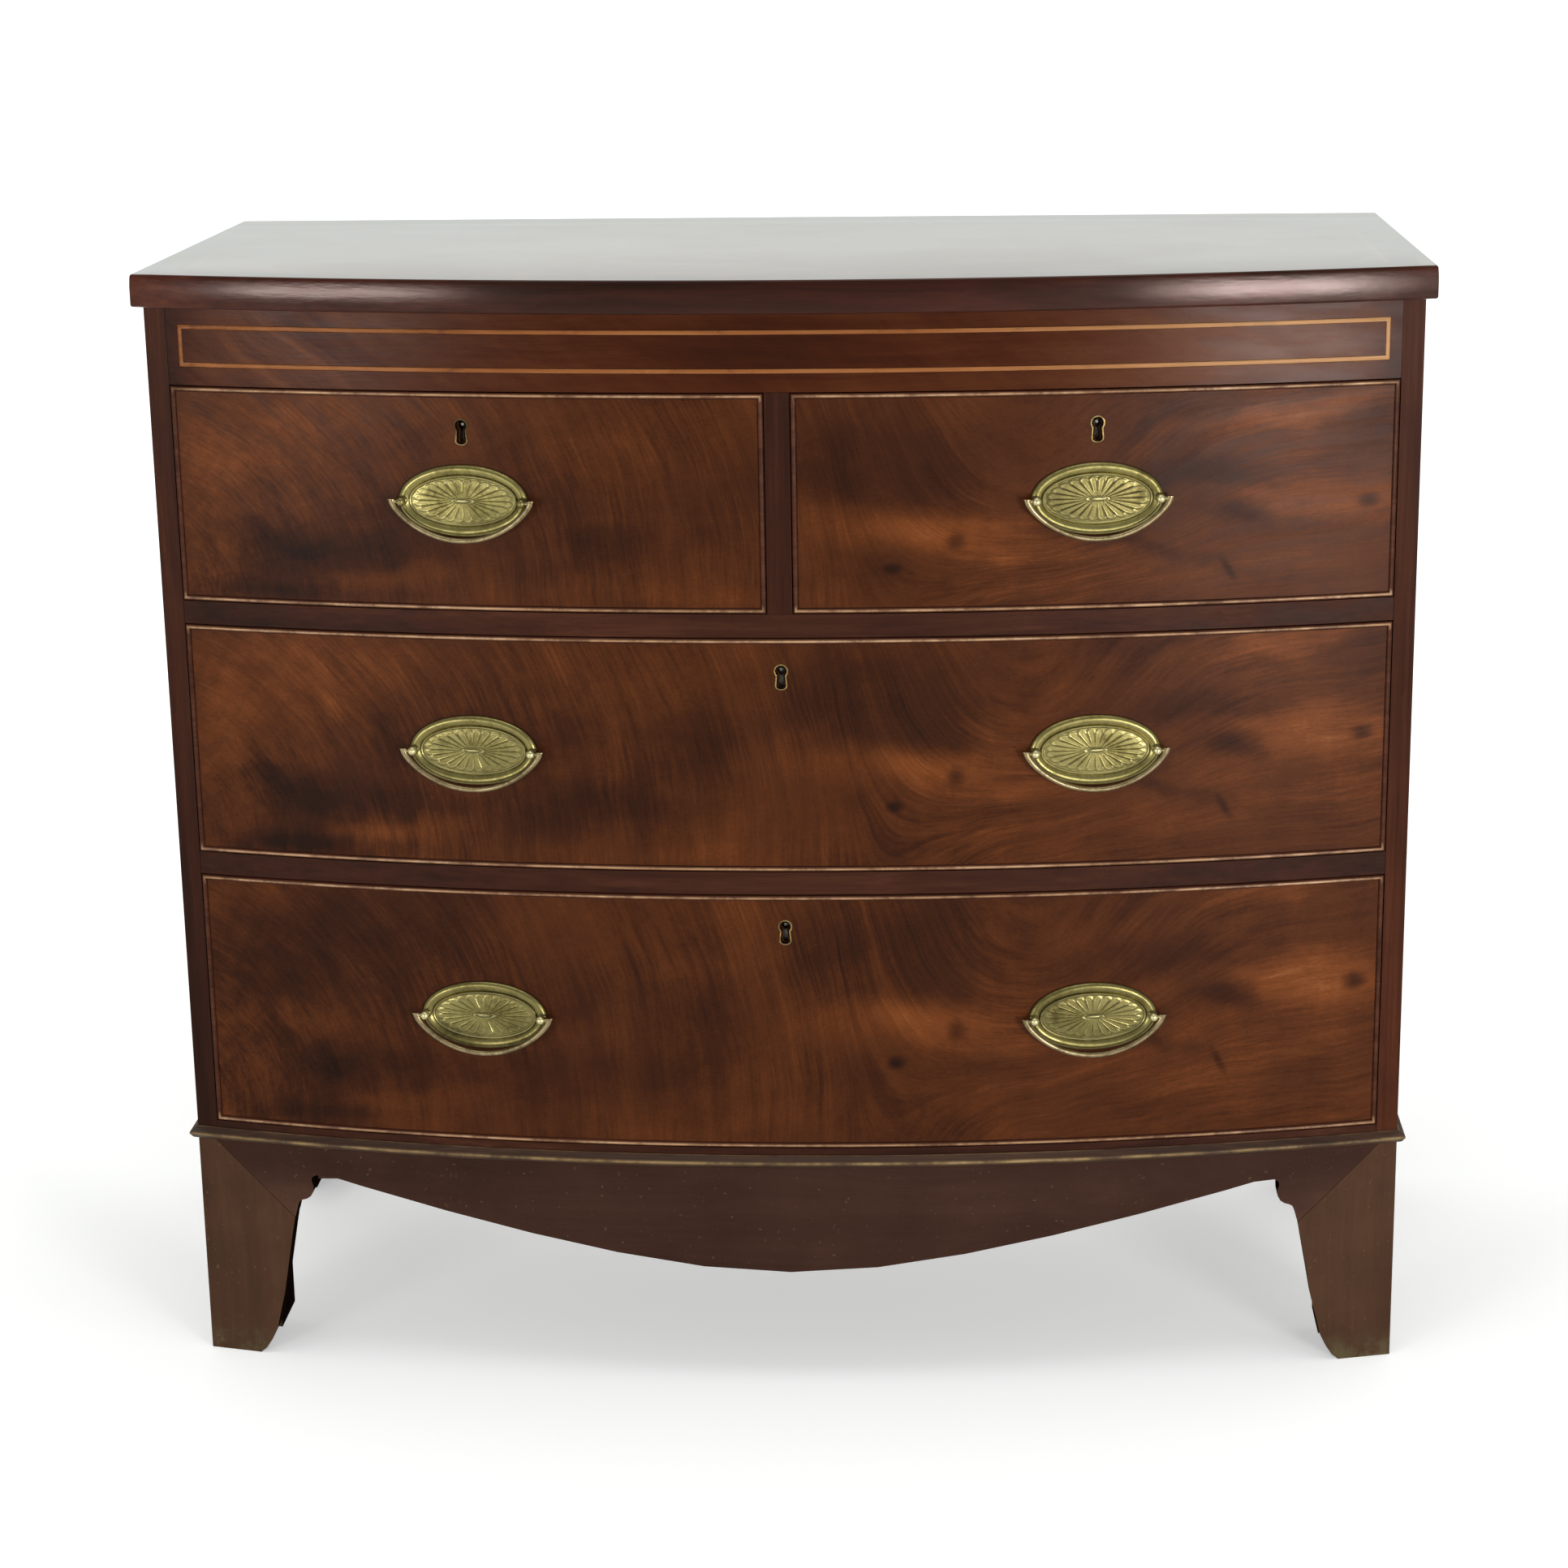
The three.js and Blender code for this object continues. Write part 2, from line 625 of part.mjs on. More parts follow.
const buildDrawer = (place) => {
  const drawer = drawerBody(place);
  const { x0, x1, z0, z1, lockX, keyZ, name } = drawer;
  const sides = [[x0, x0 + drawerSideThickness], [x1 - drawerSideThickness, x1]];
  const boxBack = backInside - drawerBackClearance;
  const sideTop = z1 - drawerSideDrop;
  const sideBase = place.z0 + runnerClearance;

  const front = cut(
    bowedBoard(x0, x1, 0, frontThickness, z0, z1),
    frame(x0, x1, z0, z1, rebateSection),
    ...sides.flatMap(([a, b], i) => tails(drawer, a - (i ? gap : overrun), b + (i ? overrun : gap), gap)),
    bottomPanel(drawer, gap),
    onBow(prism(keyholeShape(escutcheonWall + gap), 'y', -overrun, escutcheonDepth + gap), lockX, keyZ),
    onBow(prism(keyholeShape(0), 'y', 0, frontThickness), lockX, keyZ),
    onBow(block(
      -lockWidth / 2 - gap, lockWidth / 2 + gap,
      frontThickness - lockThickness - gap, frontThickness + overrun,
      z1 - lockHeight - gap - keyZ, z1 + overrun - keyZ,
    ), lockX, keyZ),
    ...handlePlaces(drawer).flatMap(({ x, z }) => [-1, 1].map((end) => onBow(
      rod(end * postHalfSpacing, 0, postRadius + gap, -overrun, frontThickness + overrun), x, z))),
  );
  add(`${name}_front`, front, 'mahogany');
  add(`${name}_cockbead`, frame(x0, x1, z0, z1, beadSection), 'bead');

  const sideBoards = sides.map(([a, b]) => join(
    prism([
      [a, caseBow.y(a, frontThickness + gap)], [b, caseBow.y(b, frontThickness + gap)],
      [b, boxBack], [a, boxBack],
    ], 'z', sideBase, sideTop),
    ...tails(drawer, a, b, 0),
  ));
  const backBase = z0 + drawerBottomRise + drawerBottomThickness + gap;
  const backFace = boxBack - drawerBackThickness;
  const backBoard = block(x0 + gap, x1 - gap, backFace, boxBack, backBase, sideTop - gap);
  add(`${name}_box`, cut(join(...sideBoards, backBoard), bottomPanel(drawer, gap)), 'oak');
  add(`${name}_bottom`, bottomPanel(drawer, 0), 'oak');

  const lockBase = z1 - lockHeight - keyZ;
  const lockTop = z1 - gap - keyZ;
  const lockFront = frontThickness - lockThickness;
  const bore = rod(0, headZ, lockBoreRadius, lockFront - overrun, lockFront + lockBoreDepth);
  const boltSlot = block(
    -boltWidth / 2 - gap, boltWidth / 2 + gap,
    boltInset - boltThickness / 2 - gap, boltInset + boltThickness / 2 + gap,
    lockTop - boltLength - gap, lockTop + overrun);
  const pin = rod(0, headZ, lockPinRadius, lockFront / 2, lockFront + lockBoreDepth + gap);
  const lockCase = block(-lockWidth / 2, lockWidth / 2, lockFront, frontThickness - gap, lockBase, lockTop);
  add(`${name}_lock`, onBow(join(cut(lockCase, bore, boltSlot), pin), lockX, keyZ), 'iron');
  add(`${name}_bolt`, onBow(block(
    -boltWidth / 2, boltWidth / 2,
    boltInset - boltThickness / 2, boltInset + boltThickness / 2,
    lockTop - boltLength, lockTop,
  ), lockX, keyZ), 'brass');

  const rim = prism(keyholeShape(escutcheonWall), 'y', -escutcheonProud, escutcheonDepth);
  const hole = prism(keyholeShape(0), 'y', -overrun, escutcheonDepth + overrun);
  add(`${name}_escutcheon`, onBow(cut(rim, hole), lockX, keyZ), 'brass');

  handlePlaces(drawer).forEach(({ x, z }) => {
    const suffix = drawer.handles === 1 ? '' : x < 0 ? '_left' : '_right';
    buildHandle(`${name}${suffix}`, x, z);
  });
};

// Oval backplate, a rim of even width round a petalled middle: rings as
// [share of the rim's width, share of the oval inside it, share of the rim's height, petals or not]
const plateRingShares = [
  [0, 1, 0.3, 0], [0.3, 1, 0.95, 0], [0.6, 1, 0.85, 0], [0.9, 1, 0.3, 0], [1, 0.92, 0.45, 1],
  [1, 0.22, 0.55, 0],
];
const plateCentreShare = 0.6;
const ovalSteps = platePetals * 2;
const plateFace = (rise) => -gap * 2 - rise * plateRimHeight;

const ovalRing = (rim, share, y, relief) => Array.from({ length: ovalSteps }, (_, i) => {
  const angle = (i / ovalSteps) * Math.PI * 2;
  const petal = relief * petalRelief * Math.abs(Math.cos((angle * platePetals) / 2));
  return [
    share * (plateHalfWidth - rim * plateRimWidth) * Math.cos(angle),
    y - petal,
    share * (plateHalfHeight - rim * plateRimWidth) * Math.sin(angle),
  ];
});

const backplate = () => {
  const rings = [
    ovalRing(0, 1, -gap, 0),
    ...plateRingShares.map(([rim, share, rise, relief]) => (
      ovalRing(rim, share, plateFace(rise), relief))),
  ];
  const positions = [...rings.flat(2), 0, -gap, 0, 0, plateFace(plateCentreShare), 0];
  const back = rings.length * ovalSteps;
  const tip = back + 1;
  const index = [];
  for (let i = 0; i < rings.length - 1; i += 1) {
    for (let j = 0; j < ovalSteps; j += 1) {
      const next = (j + 1) % ovalSteps;
      const near = i * ovalSteps;
      const far = near + ovalSteps;
      index.push(near + j, near + next, far + next, near + j, far + next, far + j);
    }
  }
  const end = (rings.length - 1) * ovalSteps;
  for (let j = 0; j < ovalSteps; j += 1) {
    const next = (j + 1) % ovalSteps;
    index.push(back, next, j, tip, end + j, end + next);
  }
  const geometry = new THREE.BufferGeometry();
  geometry.setAttribute('position', new THREE.Float32BufferAttribute(positions, 3));
  geometry.setIndex(index);
  return solid(geometry);
};

// A turned post: shank through the drawer front, ball head in front, square nut behind
const post = (end) => {
  const x = end * postHalfSpacing;
  const ball = new THREE.SphereGeometry(ballRadius, headSides, headSides / 2);
  const half = nutSize / 2;
  const curveAway = (postHalfSpacing + half) ** 2 / (2 * caseBow.radius);
  const nutFace = frontThickness + curveAway + gap;
  return cut(
    join(
      rod(x, 0, postRadius, -postReach, nutFace + nutThickness),
      solid(ball.translate(x, -postReach, 0)),
      block(x - half, x + half, nutFace, nutFace + nutThickness, -half, half),
    ),
    prism(
      circle(-postReach, 0, bailPinRadius + gap, rodSides), 'x',
      Math.min(x, x + end * ballRadius * 2), Math.max(x, x + end * ballRadius * 2)),
  );
};

// The bail: a drooping bar that ends in flat-topped horns with pins turned in to the posts
const bail = () => {
  const round = Array.from({ length: bailSides }, (_, i) => (i / bailSides) * Math.PI * 2);
  const thick = bailThickness / 2;
  const rings = Array.from({ length: bailSteps + 1 }, (_, i) => {
    const angle = Math.PI * (i / bailSteps);
    const lean = Math.abs(Math.cos(angle));
    const flare = 1 + (bailFlare / bailThickness) * lean ** hornSharpness;
    const sink = Math.max(0, Math.sin(angle));
    const along = [bailHalfWidth * Math.cos(angle), -bailDrop * sink ** bailFullness];
    const normal = [
      Math.cos(angle) * bailDrop * bailFullness,
      -bailHalfWidth * sink ** (2 - bailFullness),
    ];
    const size = Math.hypot(normal[0], normal[1]);
    return round.map((turn) => {
      const out = (Math.cos(turn) * thick * flare) / size;
      return [
        along[0] + normal[0] * out,
        -postReach + Math.sin(turn) * thick,
        along[1] + normal[1] * out,
      ];
    });
  });
  const hornTop = bailPinRadius + gap * 2;
  const horn = (ring) => ring.map(([x, y]) => [x + Math.sign(x) * bailFlare / 2, y, hornTop]);
  const bar = loft([horn(rings[0]), ...rings, horn(rings[rings.length - 1])], false);
  const pins = [-1, 1].map((end) => {
    const inner = end * (postHalfSpacing + ballRadius / 2);
    const outer = end * bailHalfWidth;
    const [from, to] = [inner, outer].sort((a, b) => a - b);
    return prism(circle(-postReach, 0, bailPinRadius, rodSides), 'x', from, to);
  });
  return join(bar, ...pins);
};

const buildHandle = (name, x, z) => {
  add(`${name}_handle_plate`, onBow(join(backplate(), post(-1), post(1)), x, z), 'brass');
  add(`${name}_handle_bail`, onBow(bail(), x, z), 'brass');
};

buildCase();
buildMoulding();
buildApron();
buildFeet();
drawerPlaces.forEach(buildDrawer);

export default group;
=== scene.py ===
import math

import bmesh
import bpy
from mathutils import Matrix, Vector


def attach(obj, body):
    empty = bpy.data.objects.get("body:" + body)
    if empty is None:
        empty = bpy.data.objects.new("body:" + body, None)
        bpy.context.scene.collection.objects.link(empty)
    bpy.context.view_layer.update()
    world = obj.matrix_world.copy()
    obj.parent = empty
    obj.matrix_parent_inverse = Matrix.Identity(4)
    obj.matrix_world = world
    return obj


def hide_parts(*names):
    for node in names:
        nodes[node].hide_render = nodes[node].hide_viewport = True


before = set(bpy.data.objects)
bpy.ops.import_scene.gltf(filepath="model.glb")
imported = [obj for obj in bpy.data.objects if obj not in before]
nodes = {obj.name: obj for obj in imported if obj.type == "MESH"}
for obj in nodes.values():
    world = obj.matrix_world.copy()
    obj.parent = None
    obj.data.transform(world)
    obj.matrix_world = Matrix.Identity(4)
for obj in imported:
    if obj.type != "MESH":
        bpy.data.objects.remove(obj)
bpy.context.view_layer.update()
bpy.context.scene.view_settings.view_transform = "Standard"

# The case and the top, in metres
CASE_HALF = 0.5115
CASE_RADIUS = 2.0604
CASE_CENTRE = 1.8264
CASE_BACK = 0.239
TOP_HALF = 0.52
TOP_RADIUS = 1.95302
TOP_CENTRE = 1.70602
TOP_BACK = 0.247
TOP_UNDER = 0.9075
TOP_LEVEL = 0.934
FOOT_TOP = 0.196
KEYHOLE_DROP = 0.0315
KEYHOLE_HEIGHT = 0.0215
HANDLE_RISE = 0.0012
HANDLE_X = 0.252
CLEARANCE = 0.0009

DRAWERS = {
    "short_left": dict(x0=-0.4935, x1=-0.01, z0=0.6675, z1=0.845, handles={"": -HANDLE_X}),
    "short_right": dict(x0=0.01, x1=0.4935, z0=0.6675, z1=0.845, handles={"": HANDLE_X}),
    "long_upper": dict(
        x0=-0.4935, x1=0.4935, z0=0.453, z1=0.6485, handles={"_left": -HANDLE_X, "_right": HANDLE_X}
    ),
    "long_lower": dict(
        x0=-0.4935, x1=0.4935, z0=0.213, z1=0.434, handles={"_left": -HANDLE_X, "_right": HANDLE_X}
    ),
}


def case_y(x, depth=0.0):
    """The case's bowed face, at a depth behind it."""
    return CASE_CENTRE - math.sqrt((CASE_RADIUS - depth) ** 2 - x * x)


def top_y(x, inset=0.0):
    """The top board's bowed edge."""
    return TOP_CENTRE - math.sqrt((TOP_RADIUS - inset) ** 2 - x * x)


def tone(red, green, blue):
    """A display colour, 0 to 255, as the linear colour that a shader takes."""
    shares = [channel / 255 for channel in (red, green, blue)]
    return (*[s / 12.92 if s <= 0.04045 else ((s + 0.055) / 1.055) ** 2.4 for s in shares], 1.0)


# Camera
LENS = 75.9
SENSOR = 36.0
CAMERA_SHIFT = -0.0387
camera_place = Vector((0.1591, -2.8042, 1.2331))
yaw, pitch, roll = -0.0424, -0.2677, -0.0117
forward = Vector((math.sin(yaw) * math.cos(pitch), math.cos(yaw) * math.cos(pitch), math.sin(pitch)))
level = Vector((math.cos(yaw), -math.sin(yaw), 0))
upright = level.cross(forward)
across = math.cos(roll) * level + math.sin(roll) * upright
above = math.cos(roll) * upright - math.sin(roll) * level
camera = bpy.data.objects.new("camera", bpy.data.cameras.new("camera"))
camera.data.lens = LENS
camera.data.sensor_width = SENSOR
camera.data.shift_x = CAMERA_SHIFT
camera_turn = Matrix((across, above, -forward)).transposed().to_4x4()
camera.matrix_world = Matrix.Translation(camera_place) @ camera_turn
bpy.context.scene.collection.objects.link(camera)
bpy.context.scene.camera = camera


class NodeTree:
    """A tree of nodes and the means to add to it."""

    def __init__(self, tree):
        self.tree = tree

    def add(self, kind, inputs=None, **settings):
        node = self.tree.nodes.new(kind)
        for key, value in settings.items():
            setattr(node, key, value)
        for key, value in (inputs or {}).items():
            self.feed(node.inputs[key], value)
        return node

    def feed(self, socket, value):
        if isinstance(value, bpy.types.NodeSocket):
            self.tree.links.new(value, socket)
        else:
            socket.default_value = value

    def math(self, operation, *values):
        return self.add("ShaderNodeMath", dict(enumerate(values)), operation=operation).outputs[0]

    def total(self, *terms):
        """The sum of (value, factor) pairs and plain numbers."""
        result = 0.0
        for term in terms:
            if isinstance(term, tuple):
                result = self.math("MULTIPLY_ADD", term[0], term[1], result)
            else:
                result = self.math("ADD", term, result)
        return result

    def split(self, vector):
        node = self.add("ShaderNodeSeparateXYZ", {0: vector})
        return node.outputs[0], node.outputs[1], node.outputs[2]

    def join(self, x, y, z):
        return self.add("ShaderNodeCombineXYZ", {0: x, 1: y, 2: z}).outputs[0]

    def stretch(self, vector, scale, offset=(0, 0, 0), turn=(0, 0, 0)):
        return self.add(
            "ShaderNodeMapping", {"Vector": vector, "Location": offset, "Rotation": turn, "Scale": scale},
        ).outputs[0]

    def noise(self, vector, scale=1.0, detail=4.0, roughness=0.55, colour=False):
        node = self.add(
            "ShaderNodeTexNoise",
            {"Vector": vector, "Scale": scale, "Detail": detail, "Roughness": roughness},
        )
        return node.outputs["Color" if colour else "Fac"]

    def span(self, value, low, high, to_low=0.0, to_high=1.0):
        """The value's range from low to high, eased on to another range."""
        return self.add(
            "ShaderNodeMapRange",
            {"Value": value, "From Min": low, "From Max": high, "To Min": to_low, "To Max": to_high},
            interpolation_type="SMOOTHSTEP",
        ).outputs[0]

    def ramp(self, value, stops):
        """Display colours by the value; stops are (position, red, green, blue)."""
        node = self.add("ShaderNodeValToRGB", {"Fac": value})
        elements = node.color_ramp.elements
        while len(elements) < len(stops):
            elements.new(0.5)
        for element, (position, *colour) in zip(elements, stops):
            element.position = position
            element.color = tone(*colour)
        return node.outputs["Color"]

    def mix(self, factor, a, b):
        return self.add("ShaderNodeMix", {0: factor, 6: a, 7: b}, data_type="RGBA").outputs[2]

    def drift(self, vector, scale, amount, detail=2.0):
        """The vector, moved about by a slow noise."""
        wander = self.noise(vector, scale, detail, colour=True)
        centred = self.add("ShaderNodeVectorMath", {0: wander, 1: (0.5, 0.5, 0.5)}, operation="SUBTRACT")
        return self.add(
            "ShaderNodeVectorMath",
            {0: centred.outputs[0], 1: (amount,) * 3, 2: vector},
            operation="MULTIPLY_ADD",
        ).outputs[0]

    def spot(self, vector, x, z, wide, high, turn=0.0):
        """A soft round patch in x and z: 1 in its middle and 0 at its rim."""
        local = self.add(
            "ShaderNodeMapping",
            {
                "Vector": vector,
                "Location": (x, 0, z),
                "Rotation": (0, turn, 0),
                "Scale": (wide, 1000, high),
            },
            vector_type="TEXTURE",
        ).outputs[0]
        node = self.add("ShaderNodeTexGradient", {0: local}, gradient_type="SPHERICAL")
        return self.span(node.outputs["Fac"], 0, 1)


class Shader(NodeTree):
    """A material with its principled surface and the means to feed it."""

    def __init__(self, name):
        self.material = bpy.data.materials.new(name)
        self.material.use_nodes = True
        super().__init__(self.material.node_tree)
        self.surface = self.tree.nodes["Principled BSDF"]
        coordinates = self.add("ShaderNodeTexCoord")
        self.place = coordinates.outputs["Object"]
        self.facing = coordinates.outputs["Normal"]

    def set(self, **inputs):
        for key, value in inputs.items():
            self.feed(self.surface.inputs[key.replace("_", " ")], value)

    def attribute(self, name):
        return self.add("ShaderNodeAttribute", attribute_name=name).outputs["Fac"]

    def bump(self, *layers):
        """Layers of (height, strength, distance in metres), the coarsest first."""
        normal = None
        for height, strength, distance in layers:
            inputs = {"Height": height, "Strength": strength, "Distance": distance}
            if normal is not None:
                inputs["Normal"] = normal
            normal = self.add("ShaderNodeBump", inputs).outputs[0]
        self.set(Normal=normal)


def grain_vectors(shader, along, seed, wander=0.012):
    """Coordinates squeezed along the grain, for streaks from broad to fine, and for pores."""
    moved = shader.drift(shader.place, 3.0, wander)

    def squeezed(lengthwise, crosswise):
        scale = tuple(lengthwise if axis == along else crosswise for axis in "xyz")
        return shader.stretch(moved, scale, (seed, seed * 1.7, seed * 0.6))

    return squeezed(1.6, 16), squeezed(3.5, 70), squeezed(8, 320), squeezed(55, 1500)


def back_turned(shader):
    """Coordinates turned a quarter round on faces that look forwards or backwards."""
    _, ahead, _ = shader.split(shader.facing)
    across = shader.math("GREATER_THAN", shader.math("ABSOLUTE", ahead), 0.5)
    turned = shader.stretch(shader.place, (1, 1, 1), turn=(0, 0, math.pi / 2))
    return shader.mix(across, shader.place, turned)


def plain_wood(name, along, stops, seed, rough=(0.35, 0.5), specular=0.06, pores=0.35, boxed=False):
    """Straight-grained wood: streaks, pores, slow changes of tone, a little dirt."""
    shader = Shader(name)
    if boxed:
        shader.place = back_turned(shader)
    broad, middle, fine, pore = grain_vectors(shader, along, seed)
    streak = shader.noise(middle, 1, 5, 0.6)
    hair = shader.noise(fine, 1, 3, 0.6)
    cloud = shader.noise(broad, 1, 3, 0.5)
    depth = shader.noise(pore, 1, 2, 0.5)
    dash = shader.span(depth, 0.30, 0.42, 1, 0)
    value = shader.total((cloud, 0.9), (streak, 0.75), (hair, 0.45), -0.55)
    colour = shader.ramp(value, stops)
    dark = shader.math("MULTIPLY", dash, pores)
    darkest = tone(*stops[0][1:])
    colour = shader.mix(dark, colour, darkest)
    grime = shader.span(shader.noise(shader.place, 9, 5, 0.65), 0.45, 0.75, 0, 0.35)
    colour = shader.mix(grime, colour, darkest)
    shader.set(Base_Color=colour, Specular_IOR_Level=specular)
    shader.set(Roughness=shader.span(streak, 0.3, 0.7, rough[0], rough[1]))
    shader.bump((hair, 0.12, 0.0006), (dash, -0.25, 0.0004))
    return shader


# Woods, from their darkest to their lightest tone
RAIL_TONES = [(0.15, 30, 15, 10), (0.42, 51, 26, 17), (0.62, 64, 34, 22), (0.9, 90, 51, 34)]
DIVIDER_TONES = [(0.15, 26, 13, 9), (0.42, 44, 22, 14), (0.62, 56, 29, 18), (0.9, 78, 43, 28)]
EDGE_TONES = [(0.15, 26, 9, 4), (0.42, 48, 18, 9), (0.62, 62, 26, 14), (0.9, 88, 44, 26)]
FRIEZE_TONES = [
    (0.1, 26, 10, 6), (0.35, 60, 26, 11), (0.55, 82, 42, 20), (0.75, 104, 58, 29), (1.0, 128, 82, 44)]
SIDE_TONES = [(0.12, 31, 15, 9), (0.4, 59, 30, 18), (0.65, 78, 41, 26), (0.92, 104, 60, 38)]
# The left side's tones: a darker copy of the side wood, as painted shade
PAINTED_SHADE_SIDE_TONES = [(0.12, 27, 12, 7), (0.4, 48, 23, 14), (0.65, 63, 32, 19), (0.92, 88, 48, 30)]
FOOT_TONES = [(0.2, 52, 34, 24), (0.45, 72, 49, 35), (0.62, 84, 58, 42), (0.9, 104, 76, 57)]
APRON_TONES = [(0.2, 38, 23, 17), (0.45, 54, 34, 26), (0.65, 64, 42, 33), (0.9, 82, 56, 43)]
DEAL_TONES = [(0.15, 92, 66, 40), (0.42, 140, 106, 68), (0.65, 168, 132, 90), (0.9, 190, 158, 116)]
OAK_TONES = [(0.15, 74, 52, 32), (0.42, 118, 88, 56), (0.65, 146, 113, 76), (0.9, 172, 142, 102)]

rail_wood = plain_wood("rail_wood", "x", RAIL_TONES, 1.3)
divider_wood = plain_wood("divider_wood", "z", DIVIDER_TONES, 2.1)
side_wood = plain_wood("side_wood", "z", SIDE_TONES, 3.7, rough=(0.28, 0.42), specular=0.03)
# The left side's wood, darkened as painted shade
painted_shade_side_wood = plain_wood("painted_shade_side_wood", "z", PAINTED_SHADE_SIDE_TONES, 3.2, rough=(0.28, 0.42))
edge_wood = plain_wood("edge_wood", "x", EDGE_TONES, 5.5, rough=(0.17, 0.23), specular=0.26)
edge_wood.set(Specular_Tint=(1, 0.78, 0.72, 1))
unpolished = dict(rough=(0.65, 0.8), specular=0.12, pores=0.1)
deal_wood = plain_wood("deal_wood", "x", DEAL_TONES, 7.1, **unpolished)
low_deal_wood = plain_wood("low_deal_wood", "x", DEAL_TONES, 7.9, **unpolished)
board_wood = plain_wood("board_wood", "y", DEAL_TONES, 8.6, **unpolished)
oak_wood = plain_wood(
    "oak_wood", "y", OAK_TONES, 9.3, rough=(0.6, 0.75), specular=0.12, pores=0.5, boxed=True)


def frieze_finish():
    """Frieze veneer: quiet along the middle, feathered and lighter near its left end, dark at both ends, with
    a painted highlight towards its right end.
    """
    shader = Shader("frieze_wood")
    broad, middle, fine, pore = grain_vectors(shader, "x", 4.9, 0.03)
    x, _, z = shader.split(shader.place)
    leaning = shader.stretch(shader.drift(shader.place, 6.0, 0.05, 3.0), (1, 1, 1), turn=(0, -0.6, 0))
    feather = shader.noise(shader.stretch(leaning, (9, 1, 90), (3.1, 0, 0)), 1, 4, 0.6)
    ripple = shader.noise(shader.stretch(leaning, (4, 1, 26), (8.4, 0, 0)), 1, 3, 0.5)
    plume = shader.math("ADD", shader.spot(shader.place, -0.40, 0.868, 0.13, 0.09, -0.2), 0.2)
    feathered = shader.math("MULTIPLY", plume, shader.total((feather, 0.9), (ripple, 1.0), -0.95))
    streak = shader.noise(middle, 1, 5, 0.6)
    hair = shader.noise(fine, 1, 3, 0.6)
    value = shader.total(
        (shader.noise(broad, 1, 3, 0.5), 0.42), (streak, 0.2), (hair, 0.16), (feathered, 0.8),
        (plume, 0.06), 0.03)
    ends = shader.span(shader.math("ABSOLUTE", x), 0.455, 0.515, 0, -0.3)
    cool = shader.spot(shader.place, -0.02, 0.876, 0.11, 0.05)
    # Painted highlight: a light patch towards the frieze's right end
    painted_highlight = shader.spot(shader.place, 0.36, 0.876, 0.22, 0.06)
    value = shader.total((ends, 1.0), (cool, -0.12), (painted_highlight, 0.2), value)
    colour = shader.ramp(value, FRIEZE_TONES)
    dash = shader.span(shader.noise(pore, 1, 2, 0.5), 0.30, 0.42, 1, 0)
    colour = shader.mix(shader.math("MULTIPLY", dash, 0.3), colour, tone(*FRIEZE_TONES[0][1:]))
    shader.set(Base_Color=colour, Specular_IOR_Level=0.055)
    shader.set(Roughness=shader.span(streak, 0.3, 0.7, 0.2, 0.3))
    slow = shader.noise(shader.place, 9, 2)
    shader.bump((slow, 0.2, 0.003), (hair, 0.1, 0.0005), (dash, -0.2, 0.0003))
    return shader


def base_finish(name, along, stops, seed, lift):
    """Feet and apron: dull and knocked about, with painted shade making their inward and downward faces near
    black, scuffed to olive grey at the floor.
    """
    shader = Shader(name)
    broad, middle, fine, pore = grain_vectors(shader, along, seed, 0.04)
    streak = shader.noise(middle, 1, 4, 0.6)
    cloud = shader.noise(shader.place, 14, 5, 0.6)
    x, _, z = shader.split(shader.place)
    corner = shader.math(
        "MULTIPLY", shader.span(shader.math("ABSOLUTE", x), 0.34, 0.43), shader.span(z, 0.185, 0.15))
    value = shader.total(
        (shader.noise(broad, 1, 3, 0.5), 0.35), (streak, 0.25), (shader.noise(fine, 1, 3), 0.15),
        (cloud, 0.4), (corner, lift), -0.08)
    colour = shader.ramp(value, stops)
    scuff = shader.noise(shader.place, 55, 5, 0.7)
    low = shader.span(z, 0.0, 0.03, 1, 0)
    worn = shader.math("MULTIPLY", low, shader.span(scuff, 0.4, 0.62, 0.1, 0.8))
    colour = shader.mix(worn, colour, tone(92, 82, 58))
    speck = shader.span(shader.noise(shader.place, 260, 2, 0.5), 0.68, 0.74, 0, 0.35)
    colour = shader.mix(speck, colour, tone(112, 92, 68))
    across, _, up = shader.split(shader.facing)
    inward = shader.math("MULTIPLY", across, shader.math("SIGN", x))
    # Painted shade: faces turned inwards or downwards go near black and lose their shine
    painted_shade = shader.math("MAXIMUM", shader.span(inward, -0.35, -0.6, 0, 1), shader.span(up, -0.3, -0.6, 0, 1))
    colour = shader.mix(shader.math("MULTIPLY", painted_shade, 0.95), colour, tone(10, 6, 5))
    dash = shader.span(shader.noise(pore, 1, 2), 0.30, 0.42, 1, 0)
    colour = shader.mix(shader.math("MULTIPLY", dash, 0.25), colour, tone(*stops[0][1:]))
    shader.set(Base_Color=colour, Specular_IOR_Level=shader.span(painted_shade, 0, 1, 0.05, 0))
    shader.set(Roughness=shader.span(scuff, 0.3, 0.7, 0.45, 0.65))
    shader.bump((cloud, 0.15, 0.002), (scuff, 0.12, 0.0006), (dash, -0.2, 0.0003))
    return shader


frieze_wood = frieze_finish()
foot_wood = base_finish("foot_wood", "z", FOOT_TONES, 5.2, -0.04)
apron_wood = base_finish("apron_wood", "x", APRON_TONES, 6.4, 0.26)


